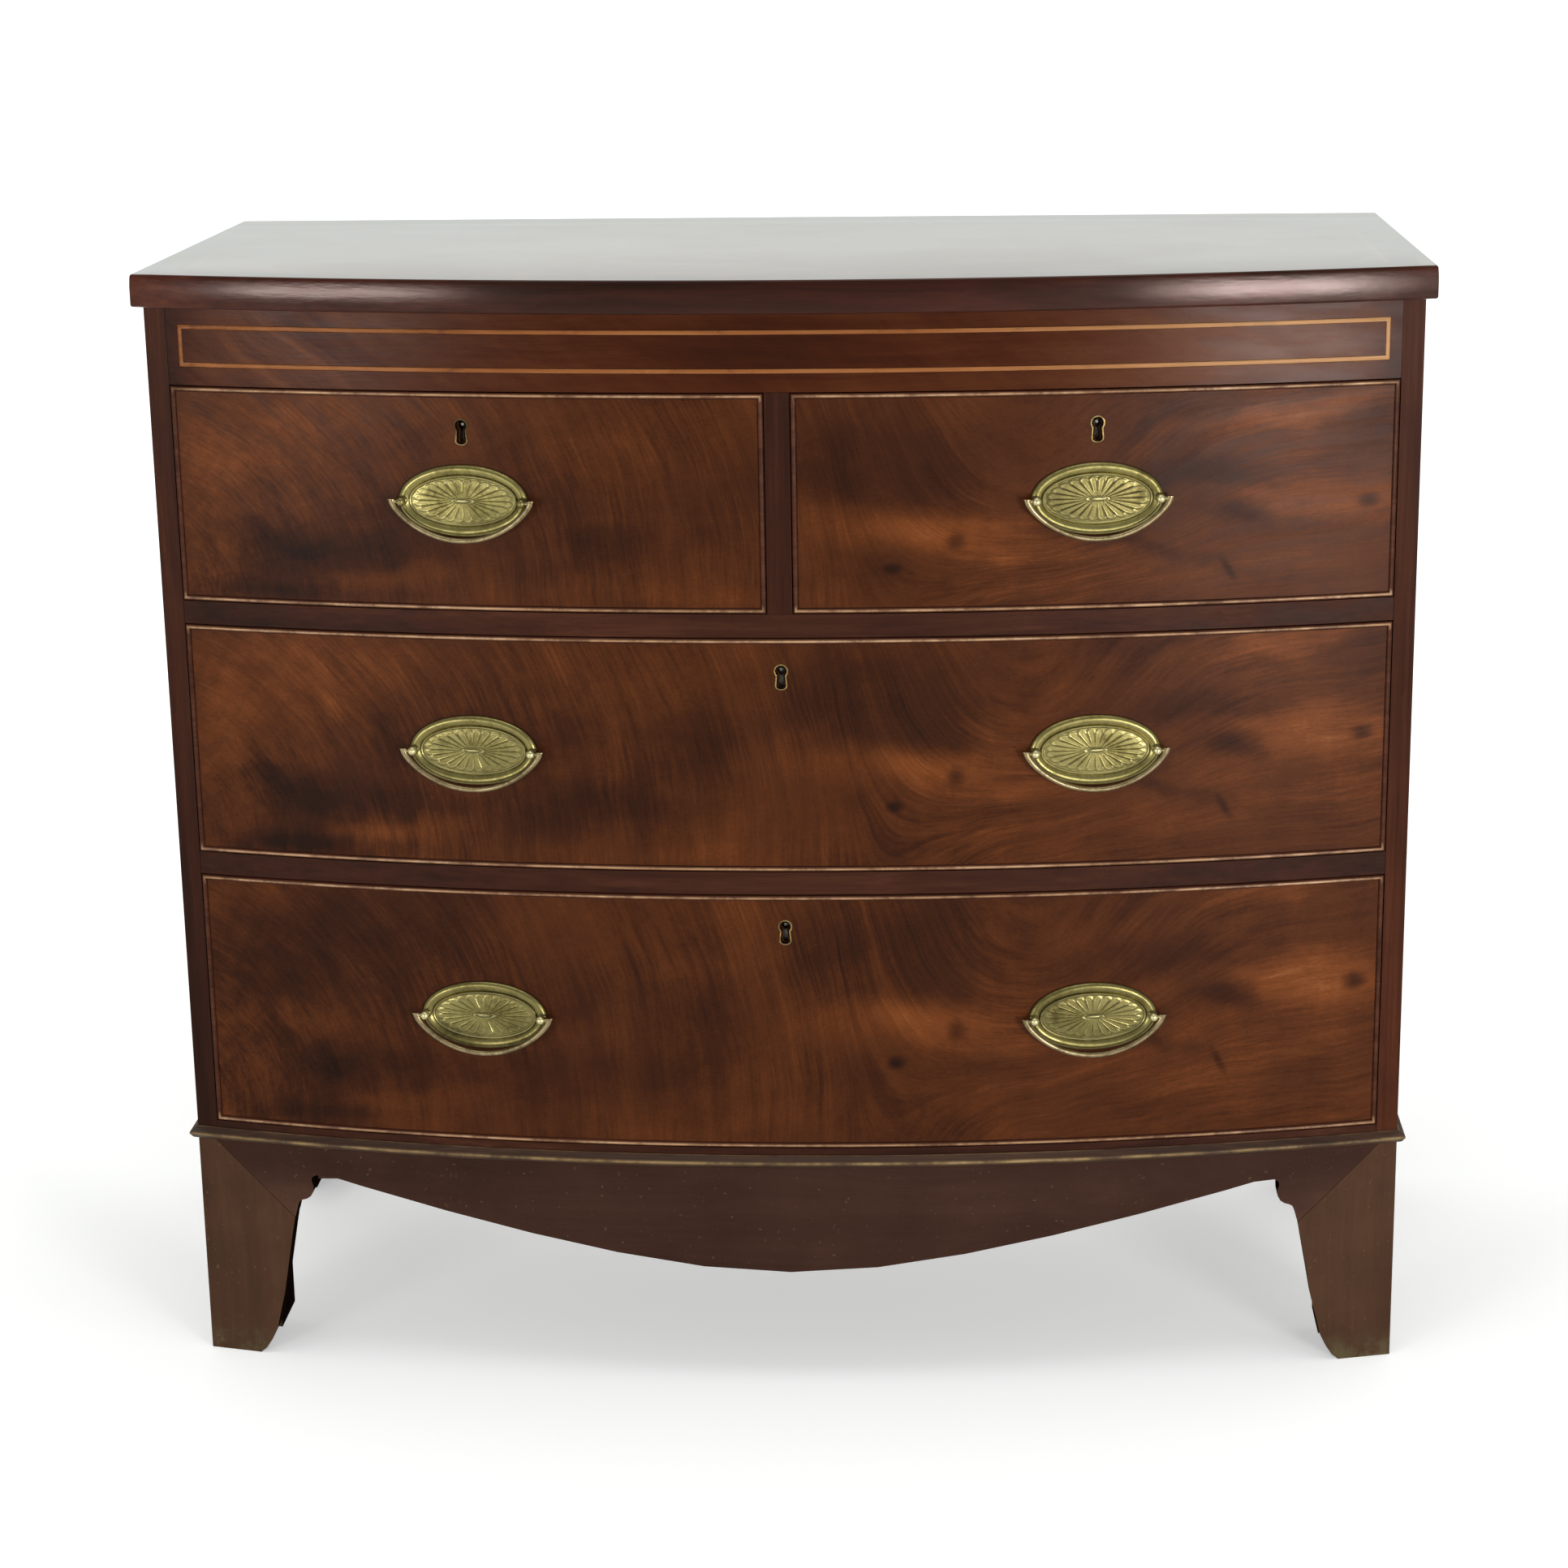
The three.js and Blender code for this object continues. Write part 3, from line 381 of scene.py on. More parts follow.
# The veneer's figure, the same in each row: patches as (x, z, half width, half height, turn, strength)
PATCHES = [
    (-0.41, 0.065, 0.15, 0.045, -0.45, 0.18),
    (-0.465, 0.01, 0.04, 0.07, 0.0, 0.12),
    (-0.37, -0.040, 0.115, 0.020, 0.08, -0.34),
    (-0.405, -0.062, 0.05, 0.030, 0.0, -0.24),
    (-0.15, -0.052, 0.11, 0.030, 0.06, -0.26),
    (-0.40, -0.086, 0.09, 0.018, -0.05, -0.32),
    (-0.28, 0.005, 0.15, 0.055, -0.3, -0.12),
    (-0.335, -0.068, 0.065, 0.022, -0.1, 0.18),
    (-0.055, -0.080, 0.08, 0.026, 0.15, 0.12),
    (-0.13, 0.035, 0.045, 0.065, 0.45, 0.12),
    (-0.14, 0.000, 0.08, 0.050, 0.3, -0.14),
    (-0.06, 0.002, 0.05, 0.045, 0.2, -0.14),
    (0.085, 0.030, 0.11, 0.055, 0.15, -0.20),
    (0.125, -0.024, 0.13, 0.022, 0.15, 0.32),
    (0.30, 0.075, 0.13, 0.03, 0.0, -0.06),
    (0.325, 0.022, 0.085, 0.024, -0.1, -0.20),
    (0.425, -0.004, 0.11, 0.024, 0.05, 0.30),
    (0.40, 0.073, 0.12, 0.013, -0.1, 0.26),
    (0.42, 0.02, 0.14, 0.13, 0.0, 0.06),
    (0.358, -0.013, 0.045, 0.018, 0.2, -0.30),
    (0.30, -0.045, 0.08, 0.009, 0.35, -0.16),
    (0.30, -0.072, 0.22, 0.034, 0.0, 0.08),
    (0.475, 0.045, 0.04, 0.035, 0.0, -0.10),
    (0.140, -0.034, 0.010, 0.009, 0.0, -0.28),
    (0.090, -0.059, 0.009, 0.006, 0.0, -0.28),
    (0.470, -0.009, 0.012, 0.008, 0.0, -0.36),
    (0.357, -0.066, 0.004, 0.016, -0.5, -0.20),
]
VENEER_TONES = [
    (0.1, 30, 14, 7), (0.3, 55, 26, 11), (0.5, 82, 42, 18), (0.7, 110, 59, 27), (0.95, 148, 92, 50)]
WIDEST_KNOT = 0.015
FIGURE_HEIGHT = 0.2
# The centre of the left side's arcs, out beyond the drawer's left end
FAR_X, FAR_Z = 0.543, 0.095
# How rows differ: the figure's rise, an added light patch, and the left side's dark and light patches
SHORT_ROW = (0.0, 0.0, 0.7, 0.9)
FIGURE_ROWS = {
    "short_left": SHORT_ROW, "short_right": SHORT_ROW, "long_upper": (0.015, 0.0, 0.9, 0.85),
    "long_lower": (0.027, -0.22, 0.6, 0.15),
}


def drawer_veneer(name, z0, z1, seed, lift, glow, shade, warmth):
    """Flame mahogany: arcs about a far centre on the left, a swirl on the right."""
    shader = Shader(name)
    middle, scale = (z0 + z1) / 2, FIGURE_HEIGHT / (z1 - z0)
    flat = shader.stretch(shader.place, (1, 1, scale), (0, 0, -middle * scale))
    x, y, z = shader.split(flat)
    flat = shader.join(x, y, shader.total((shader.span(x, -0.05, 0.1), -lift), z))
    moved = shader.drift(flat, 5.0, 0.03, 3.0)
    x, _, z = shader.split(moved)

    far_x, far_z = shader.math("ADD", x, FAR_X), shader.math("ADD", z, FAR_Z)
    squares = shader.math("MULTIPLY_ADD", far_x, far_x, shader.math("MULTIPLY", far_z, far_z))
    left_across = shader.math("SQRT", squares)
    left_along = shader.math("MULTIPLY", shader.math("ARCTAN2", far_z, far_x), 0.4)
    swirl = shader.spot(moved, 0.215, 0.0, 0.19, 0.13)
    right_across = shader.total((x, -0.1), (swirl, 0.07), z, 0.66)
    over = shader.span(x, 0.02, 0.2)
    across_grain = shader.total((shader.math("SUBTRACT", right_across, left_across), over), left_across)
    along_grain = shader.total((shader.math("SUBTRACT", x, left_along), over), left_along)

    def streaks(lengthwise, crosswise, detail, roughness):
        vector = shader.join(
            shader.math("MULTIPLY", along_grain, lengthwise),
            shader.math("MULTIPLY", across_grain, crosswise),
            seed,
        )
        return shader.noise(vector, 1, detail, roughness)

    broad = streaks(5, 22, 3, 0.55)
    middle_streak = streaks(9, 85, 4, 0.6)
    fine = streaks(22, 380, 3, 0.6)
    pore = streaks(95, 1500, 2, 0.5)
    mottle = streaks(40, 12, 3, 0.55)
    cloud = shader.noise(shader.stretch(moved, (1, 1, 1.8), (seed, 0, 0)), 11, 5, 0.6)
    soft = shader.noise(shader.stretch(moved, (1, 1, 1), (0, seed, 0)), 9, 3)
    soft_mask = shader.span(soft, 0.35, 0.65, 0.35, 1)
    plume = streaks(7, 46, 4, 0.6)
    streaked = shader.math("MULTIPLY", soft_mask, shader.total((middle_streak, 0.36), (fine, 0.44), -0.4))
    flecks = shader.noise(shader.stretch(moved, (1, 1, 2.2), (0, seed, 0)), 260, 4, 0.7)
    value = shader.total(
        (broad, 0.23), (plume, 0.25), (streaked, 1.0), (flecks, 0.22), (mottle, 0.14), (cloud, 0.32), -0.155)
    cloudy = shader.drift(shader.drift(flat, 12.0, 0.05, 5.0), 40.0, 0.012, 3.0)
    for px, pz, wide, high, turn, strength in PATCHES:
        knot = wide < WIDEST_KNOT
        strength *= 1.0 if knot else 0.86
        if px < 0:
            strength *= shade if strength < 0 else warmth
        patch = shader.spot(flat if knot else cloudy, px, pz, wide * 1.25, high * 1.3, turn)
        value = shader.total((patch, strength), value)
    value = shader.total((shader.spot(cloudy, -0.38, 0.06, 0.22, 0.09, -0.4), glow), value)
    colour = shader.ramp(value, VENEER_TONES)
    plum = shader.span(shader.noise(shader.place, 8, 3), 0.45, 0.7, 0, 0.3)
    colour = shader.mix(plum, colour, tone(66, 34, 18))
    dash = shader.span(pore, 0.30, 0.42, 1, 0)
    colour = shader.mix(shader.math("MULTIPLY", dash, 0.3), colour, tone(*VENEER_TONES[0][1:]))
    scratch = shader.noise(shader.stretch(shader.place, (14, 1, 900), (seed, 0, 0)), 1, 2)
    scratch = shader.span(scratch, 0.76, 0.82)
    colour = shader.mix(shader.math("MULTIPLY", scratch, 0.2), colour, tone(*VENEER_TONES[-1][1:]))
    shader.set(Base_Color=colour, Specular_IOR_Level=0.06)
    shader.set(Roughness=shader.span(middle_streak, 0.3, 0.7, 0.28, 0.38))
    slow = shader.noise(shader.place, 7, 2)
    shader.bump((slow, 0.25, 0.004), (fine, 0.08, 0.0004), (dash, -0.15, 0.0003))
    return shader


BORDER_WIDTH = 0.038


def top_finish():
    """Polished boards with a crossbanded border behind a light inlaid line."""
    shader = Shader("top_wood")
    x, y, _ = shader.split(shader.place)
    reach = shader.math("SUBTRACT", y, TOP_CENTRE)
    squares = shader.math("MULTIPLY_ADD", x, x, shader.math("MULTIPLY", reach, reach))
    front = shader.math("SUBTRACT", TOP_RADIUS, shader.math("SQRT", squares))
    side = shader.math("SUBTRACT", TOP_HALF, shader.math("ABSOLUTE", x))
    back = shader.math("SUBTRACT", TOP_BACK, y)
    edge = shader.math("MINIMUM", shader.math("MINIMUM", front, side), back)
    from_line = shader.math("ABSOLUTE", shader.math("SUBTRACT", edge, BORDER_WIDTH))
    line = shader.span(from_line, 0.0009, 0.0014, 1, 0)
    band = shader.math("LESS_THAN", edge, BORDER_WIDTH)
    sideways = shader.math("LESS_THAN", side, shader.math("MINIMUM", front, back))

    def boards(along, seed):
        broad, middle, fine, pore = grain_vectors(shader, along, seed, 0.05)
        value = shader.total(
            (shader.noise(broad, 1, 3), 0.9), (shader.noise(middle, 1, 5, 0.6), 0.7),
            (shader.noise(fine, 1, 3), 0.4), -0.5)
        return value, shader.span(shader.noise(pore, 1, 2), 0.3, 0.42, 1, 0)

    field, field_pores = boards("x", 11.0)
    ends_band, _ = boards("x", 12.0)
    long_band, _ = boards("y", 13.0)
    stops = [(0.12, 38, 21, 15), (0.4, 74, 40, 27), (0.65, 102, 58, 37), (0.92, 130, 80, 52)]
    darker = [(0.12, 28, 15, 12), (0.4, 58, 30, 22), (0.65, 84, 46, 31), (0.92, 112, 68, 46)]
    banding = shader.mix(sideways, shader.ramp(long_band, darker), shader.ramp(ends_band, darker))
    colour = shader.mix(band, shader.ramp(field, stops), banding)
    colour = shader.mix(line, colour, tone(150, 100, 58))
    colour = shader.mix(shader.math("MULTIPLY", field_pores, 0.3), colour, tone(26, 14, 11))
    shader.set(Base_Color=colour, Specular_IOR_Level=0.6)
    shader.set(Coat_Weight=1.0, Coat_Roughness=0.06, Coat_IOR=1.6)
    smear = shader.noise(shader.place, 6, 5, 0.6)
    shader.set(Roughness=shader.span(smear, 0.3, 0.7, 0.14, 0.24))
    shader.bump((smear, 0.12, 0.003), (field_pores, -0.08, 0.0003))
    return shader


def string_finish():
    """Light stringing, gone orange under old polish, with a painted highlight towards its right end."""
    shader = Shader("string_wood")
    _, middle, fine, _ = grain_vectors(shader, "x", 15.0)
    value = shader.total((shader.noise(middle, 1, 4), 0.6), (shader.noise(fine, 1, 3), 0.5), -0.05)
    colour = shader.ramp(value, [
        (0.2, 104, 60, 32), (0.45, 138, 84, 46), (0.65, 154, 100, 60), (0.9, 176, 128, 86)])
    grime = shader.span(shader.noise(shader.place, 22, 5, 0.7), 0.52, 0.72, 0, 0.7)
    colour = shader.mix(grime, colour, tone(88, 50, 32))
    x, _, _ = shader.split(shader.place)
    # Painted highlight: lighter and paler towards the right end
    colour = shader.mix(shader.span(x, 0.1, 0.42, 0, 0.5), colour, tone(206, 160, 112))
    shader.set(Base_Color=colour, Specular_IOR_Level=0.06)
    shader.set(Roughness=shader.span(value, 0.3, 0.7, 0.18, 0.26))
    shader.bump((value, 0.1, 0.0003))
    return shader


def rubbed_and_sheen_finish(name, seed, stops, worn_and_sheen_stops, patches, specular, rough):
    """A beaded edge: dark in its hollows and, in patches, bright where its wear attribute is high: rubbed
    wear, and on the cockbeads also a painted highlight along the crown.
    """
    shader = Shader(name)
    wear = shader.attribute("wear")
    _, middle, fine, _ = grain_vectors(shader, "x", seed)
    streak = shader.total((shader.noise(middle, 1, 4), 0.6), (shader.noise(fine, 1, 3), 0.4), 0.0)
    scale, roughness, low, high, least = patches
    patchy = shader.span(shader.noise(shader.place, scale, 6, roughness), low, high, least, 1)
    worn = shader.math("MULTIPLY", wear, patchy)
    colour = shader.mix(worn, shader.ramp(streak, stops), shader.ramp(streak, worn_and_sheen_stops))
    even, gain = specular
    shader.set(Base_Color=colour, Specular_IOR_Level=shader.total((wear, gain), even) if gain else even)
    shader.set(Roughness=shader.span(streak, 0.3, 0.7, *rough))
    shader.bump((streak, 0.12, 0.0003))
    return shader


def metal(name, bright, dull, dirt, scale, rough, seed):
    """Old cast or stamped metal: bright where handled and where a painted highlight is given, tarnished in
    patches and hollows.
    """
    shader = Shader(name)
    place = shader.stretch(shader.place, (1, 1, 1), (seed, seed, seed))
    patches = shader.noise(place, scale, 6, 0.65)
    specks = shader.noise(place, scale * 9, 4, 0.7)
    mixed = shader.total((patches, 0.75), (specks, 0.35), 0.0)
    colour = shader.ramp(mixed, [(0.3, *dirt), (0.47, *dull), (0.62, *bright), (0.8, *dull)])
    hollow = shader.attribute("hollow")
    colour = shader.mix(shader.math("MULTIPLY", hollow, 0.8), colour, tone(*dirt))
    colour = shader.mix(shader.attribute("clean"), colour, tone(212, 204, 156))
    shader.set(Base_Color=colour, Metallic=1.0)
    shader.set(Roughness=shader.span(mixed, 0.35, 0.7, rough[1], rough[0]))
    shader.bump((patches, 0.1, 0.0008), (specks, 0.12, 0.0002))
    return shader


plate_brass = metal("plate_brass", (144, 134, 84), (112, 103, 60), (58, 49, 28), 30, (0.3, 0.48), 1.0)
bail_brass = metal("bail_brass", (152, 136, 102), (112, 97, 70), (66, 53, 38), 50, (0.3, 0.46), 2.0)
trim_brass = metal("trim_brass", (150, 128, 80), (104, 84, 50), (54, 39, 26), 90, (0.34, 0.55), 3.0)
lock_iron = metal("lock_iron", (120, 114, 106), (84, 78, 72), (56, 42, 34), 50, (0.4, 0.6), 4.0)

# Painted shadow: a near-black speckled finish for the inside of the keyholes
painted_shadow_finish = Shader("painted_shadow_finish")
shadow_speckle = painted_shadow_finish.noise(painted_shadow_finish.place, 400, 3)
painted_shadow_finish.set(Base_Color=painted_shadow_finish.ramp(shadow_speckle, [(0.3, 6, 4, 3), (0.7, 18, 12, 9)]))
painted_shadow_finish.set(Roughness=painted_shadow_finish.span(shadow_speckle, 0.3, 0.7, 0.75, 0.95), Specular_IOR_Level=0.05)
painted_shadow_finish.bump((shadow_speckle, 0.2, 0.0003))


def new_piece(name, points, faces, shader, body, replaced=(), attributes=None, sharp=40.0):
    """A mesh piece at the origin, facing out, smooth but for its sharp edges."""
    mesh = bpy.data.meshes.new(name)
    mesh.from_pydata([tuple(p) for p in points], [], faces)
    for key, values in (attributes or {}).items():
        mesh.attributes.new(key, "FLOAT", "POINT").data.foreach_set("value", values)
    work = bmesh.new()
    work.from_mesh(mesh)
    bmesh.ops.recalc_face_normals(work, faces=work.faces)
    work.to_mesh(mesh)
    work.free()
    mesh.shade_smooth()
    mesh.set_sharp_from_angle(angle=math.radians(sharp))
    mesh.materials.append(shader.material)
    piece = bpy.data.objects.new(name, mesh)
    bpy.context.scene.collection.objects.link(piece)
    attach(piece, body)
    if replaced:
        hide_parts(*replaced)
    return piece


def bridge(rings, size, closed):
    """Faces between rings of points that follow one another."""
    faces = []
    for i in range(rings if closed else rings - 1):
        near, far = i * size, ((i + 1) % rings) * size
        for j in range(size):
            k = (j + 1) % size
            faces.append((near + j, near + k, far + k, far + j))
    return faces


def tube(rings, size, start=0):
    """Faces of an open run of rings and its two ends, from a first point."""
    last = start + (rings - 1) * size
    faces = [tuple(start + i for i in face) for face in bridge(rings, size, False)]
    return faces + [tuple(range(start, start + size)), tuple(range(last, last + size))]


def spread(start, end, steps):
    """Steps from start towards end, without the end."""
    return [start + (end - start) * i / steps for i in range(steps)]


FRAME_STEPS = 40
# Stations up a frame's sides, and how much wear and painted highlight the sides have beside the top and
# bottom
SIDE_SHARES = (0.0, 0.03, 0.5, 0.97)
SIDE_WEAR_AND_SHEEN = 0.05


def bowed_frame(name, x0, x1, z0, z1, section, shader, body, node):
    """A mitred frame on the case's bow; section points are (inwards, depth, wear and painted highlight)."""
    points, worn = [], []
    for inwards, depth, wear in section:
        left, right, low, high = x0 + inwards, x1 - inwards, z0 + inwards, z1 - inwards
        ring = [(x, low) for x in spread(left, right, FRAME_STEPS)]
        ring += [(right, low + (high - low) * way) for way in SIDE_SHARES]
        ring += [(x, high) for x in spread(right, left, FRAME_STEPS)]
        ring += [(left, high - (high - low) * way) for way in SIDE_SHARES]
        points += [(x, case_y(x, depth), z) for x, z in ring]
        worn += [wear * (1.0 if z in (low, high) else SIDE_WEAR_AND_SHEEN) for _, z in ring]
    size = len(points) // len(section)
    faces = bridge(len(section), size, True)
    new_piece(name, points, faces, shader, body, [node], {"wear": worn}, 50)


def onto_bow(x, z):
    """Moves points made about the origin, facing -Y, onto the case's face."""
    turn = Matrix.Rotation(math.asin(x / CASE_RADIUS), 4, "Z")
    return Matrix.Translation((x, case_y(x), z)) @ turn


# The top board
TOP_STEPS, TOP_SIDE_STEPS, ROUND_STEPS, CAMBER_STEPS = 64, 6, 4, 6
ROUND_OVER, CAMBER, CAMBER_HEIGHT = 0.0022, 0.0006, 0.014


def top_outline(inset, z):
    half = TOP_HALF - inset
    back = TOP_BACK - inset
    front = top_y(half, inset)
    ring = [(x, top_y(x, inset)) for x in spread(-half, half, TOP_STEPS)]
    ring += [(half, y) for y in spread(front, back, TOP_SIDE_STEPS)]
    ring += [(x, back) for x in spread(half, -half, TOP_STEPS)]
    ring += [(-half, y) for y in spread(back, front, TOP_SIDE_STEPS)]
    return [(x, y, z) for x, y in ring]


def make_top():
    """The top, rounded over below, and cambered and rounded over above."""
    quarter = [math.pi / 2 * i / ROUND_STEPS for i in range(ROUND_STEPS + 1)]
    levels = [
        (ROUND_OVER * (1 - math.sin(angle)), TOP_UNDER + ROUND_OVER * (1 - math.cos(angle)))
        for angle in quarter]
    for i in range(1, CAMBER_STEPS):
        rise = (CAMBER_HEIGHT - ROUND_OVER) * i / CAMBER_STEPS
        levels.append((CAMBER * (i / CAMBER_STEPS) ** 2, TOP_LEVEL - CAMBER_HEIGHT + rise))
    levels += [
        (CAMBER + ROUND_OVER * (1 - math.cos(angle)), TOP_LEVEL - ROUND_OVER * (1 - math.sin(angle)))
        for angle in quarter]
    rings = [top_outline(inset, z) for inset, z in levels]
    points = [p for ring in rings for p in ring]
    faces = tube(len(rings), len(rings[0]))
    top = new_piece("top", points, faces, edge_wood, "root", ["top_board"], sharp=60)
    top.data.materials.append(top_finish().material)
    for face in top.data.polygons:
        if face.normal.z > 0.9:
            face.material_index = 1


make_top()

# Frieze stringing
string_wood = string_finish()
STRING_HALF, STRING_HIGH, STRING_LOW = 0.4833, 0.8936, 0.86
STRING_SECTION = [
    (0, 0.0015, 0), (0, 0.0001, 0), (0.0003, -0.0001, 0), (0.0030, -0.0001, 0), (0.0033, 0.0001, 0),
    (0.0033, 0.0015, 0),
]
bowed_frame(
    "stringing", -STRING_HALF, STRING_HALF, STRING_LOW, STRING_HIGH, STRING_SECTION,
    string_wood, "root", "frieze_stringing")

# Base moulding: section as (out, up) shares of its reach and height, with its wear
MOULDING_REACH, MOULDING_HEIGHT, MOULDING_GAP = 0.0064, 0.011, 0.0003
MOULDING_STEPS = 64
MOULDING_SECTION = [
    (0.0, 0.0, 0.0), (0.3, 0.02, 0.0), (0.52, 0.08, 0.0), (0.7, 0.2, 0.05), (0.82, 0.31, 0.15),
    (0.95, 0.38, 0.8), (1.0, 0.46, 1.0), (0.99, 0.53, 1.0), (0.92, 0.59, 0.35), (0.8, 0.64, 0.05),
    (0.62, 0.7, 0.0), (0.4, 0.79, 0.0), (0.22, 0.9, 0.0), (0.14, 0.98, 0.3), (0.1, 1.0, 0.3),
    (0.0, 1.0, 0.0),
]
# Greenish gold where its tip is worn
moulding_wood = rubbed_and_sheen_finish(
    "moulding_wood", 19.0,
    [(0.25, 32, 19, 13), (0.5, 56, 36, 25), (0.75, 78, 54, 38)],
    [(0.25, 98, 76, 46), (0.5, 132, 106, 68), (0.75, 172, 146, 102)],
    (24, 0.72, 0.36, 0.62, 0.12), (0.2, 0.0), (0.35, 0.5))


def make_moulding():
    """Rings as (x, y, way out in x, way out in y): along both sides and the front, mitred at the corners."""
    rings = [(-CASE_HALF, CASE_BACK, -1.0, 0.0)]
    for i in range(MOULDING_STEPS + 1):
        x = -CASE_HALF + 2 * CASE_HALF * i / MOULDING_STEPS
        nx = x / CASE_RADIUS
        ny = -math.sqrt(1 - nx * nx)
        if i in (0, MOULDING_STEPS):
            side = -1 if i == 0 else 1
            share = 1 + nx * side
            nx, ny = (nx + side) / share, ny / share
        rings.append((x, case_y(x), nx, ny))
    rings.append((CASE_HALF, CASE_BACK, 1.0, 0.0))
    points, worn = [], []
    for x, y, nx, ny in rings:
        for out, up, wear in MOULDING_SECTION:
            reach = MOULDING_GAP + out * MOULDING_REACH
            points.append((x + nx * reach, y + ny * reach, FOOT_TOP + up * MOULDING_HEIGHT))
            worn.append(wear)
    faces = tube(len(rings), len(MOULDING_SECTION))
    new_piece(
        "moulding", points, faces, moulding_wood, "root", ["base_moulding"],
        {"wear": worn}, 50)


make_moulding()

# Keyholes
HEAD_RADIUS, NECK_HALF, KEY_FOOT_HALF, RIM_WALL = 0.0059, 0.0044, 0.0052, 0.0012
KEY_FOOT_SHARE = 0.7
HEAD_STEPS, KEY_FOOT_STEPS = 24, 12


def keyhole(grow):
    """A keyhole outline in x and z about its middle."""
    head = HEAD_RADIUS - RIM_WALL + grow
    neck = NECK_HALF - RIM_WALL + grow
    foot = KEY_FOOT_HALF - RIM_WALL + grow
    head_z = KEYHOLE_HEIGHT / 2 - HEAD_RADIUS
    foot_z = KEY_FOOT_SHARE * KEY_FOOT_HALF - KEYHOLE_HEIGHT / 2
    lean = math.asin(neck / head)
    start, end = lean - math.pi / 2, math.pi * 1.5 - lean
    outline = []
    for i in range(HEAD_STEPS + 1):
        angle = start + (end - start) * i / HEAD_STEPS
        outline.append((head * math.cos(angle), head_z + head * math.sin(angle)))
    for i in range(KEY_FOOT_STEPS + 1):
        angle = math.pi + math.pi * i / KEY_FOOT_STEPS
        outline.append((foot * math.cos(angle), foot_z + KEY_FOOT_SHARE * foot * math.sin(angle)))
    return outline


# The rim's section as (growth of the outline, depth, tarnish), and the row where its inner lip starts,
# painted near black as the keyhole's shadow
RIM_SECTION = [
    (0.0012, 0.0003, 0), (0.0012, 0.0, 0.3), (0.00105, -0.00022, 0), (0.0006, -0.0003, 0),
    (0.00015, -0.0002, 0), (0.0, -0.00006, 0.3), (-0.0009, -0.00005, 1), (-0.0009, 0.003, 1),
]
LIP_ROW = 5
# Above this height over the keyhole's middle, a tarnished rim is dull
DULL_FROM = -0.006


def make_escutcheon(drawer, x, z, body, tarnish):
    place = onto_bow(x, z)
    points, hollow = [], []
    for grow, depth, share in RIM_SECTION:
        ring = keyhole(grow)
        points += [place @ Vector((a, depth, b)) for a, b in ring]
        hollow += [max(share, tarnish if b > DULL_FROM else 0) for _, b in ring]
    size = len(points) // len(RIM_SECTION)
    rim = new_piece(
        f"{drawer}_keyhole_rim", points, bridge(len(RIM_SECTION), size, True), trim_brass,
        body, [f"{drawer}_escutcheon"],
        {"hollow": hollow, "clean": [0.0] * len(points)})
    # The inner lip takes the painted shadow
    rim.data.materials.append(painted_shadow_finish.material)
    for face in rim.data.polygons[LIP_ROW * size:]:
        face.material_index = 1


# Handles
PLATE_HALF_WIDTH, PLATE_HALF_HEIGHT = 0.053, 0.0292
PETALS = 24
PLATE_STEPS = PETALS * 10
POST_SPACING = 0.0494
POST_REACH = 0.0084
BALL_RADIUS = 0.0038
NUT_HALF = 0.0045
SHANK_RADIUS = 0.0025
# Where a nut sits behind the face, at the far end of its seat
NUT_FACE = 0.0203 + (POST_SPACING + NUT_HALF) ** 2 / (2 * CASE_RADIUS)
# A nut, as (depth behind its seat, narrowing)
NUT_LEVELS = ((0.0, 0.0), (0.0029, 0.0), (0.0035, 0.0006))
# A post's collar and neck, and its shank, as (depth behind the face, radius)
POST_NECK = [(-0.0012, 0.0), (-0.0012, 0.0040), (-0.0038, 0.0040), (-0.0042, 0.0034), (-0.0045, 0.0026)]
POST_SHANK = [
    (-0.001, 0.0), (-0.001, SHANK_RADIUS), (NUT_FACE + 0.0045, SHANK_RADIUS), (NUT_FACE + 0.005, 0.0021),
    (NUT_FACE + 0.005, 0.0),
]
BALL_STEPS, POST_SIDES, SHANK_SIDES = 12, 24, 16
# A ring's radius where a turned piece closes
CLOSED_RADIUS = 0.00005
BAIL_HALF_WIDTH, BAIL_DROP, BAIL_RADIUS, BAIL_FULLNESS = 0.0567, 0.0312, 0.0022, 1.5
BAIL_STEPS, BAIL_SIDES, PIN_RADIUS = 56, 16, 0.0016
# The horns at a bail's ends, as (rise, push outwards)
HORN_LEVELS = ((0.0008, 0.0004), (0.0017, 0.0008), (0.0021, 0.0006))

# The plate's rim: distance in from the edge and height, in millimetres
RIM_PROFILE = [
    (0.0, 0.3), (0.02, 0.9), (0.35, 1.6), (1.1, 2.4), (2.1, 3.0), (3.3, 3.35), (4.5, 3.3), (5.7, 2.95),
    (6.9, 2.3), (7.8, 1.7), (8.2, 1.3), (8.45, 1.15), (8.7, 1.5), (9.0, 2.15), (9.4, 2.5), (9.9, 2.35),
    (10.4, 1.75), (10.8, 1.2),
]
RIM_WIDTH = 0.0108
BOSS_HALF_WIDTH, BOSS_HALF_HEIGHT = 0.0105, 0.0025
# The boss in the middle: share of its half widths and height in millimetres
BOSS_PROFILE = [
    (1.0, 1.9), (0.96, 2.45), (0.88, 2.75), (0.78, 2.7), (0.7, 2.35), (0.62, 2.3), (0.5, 2.6),
    (0.35, 2.85), (0.15, 2.9),
]
PANEL_ROWS = 24


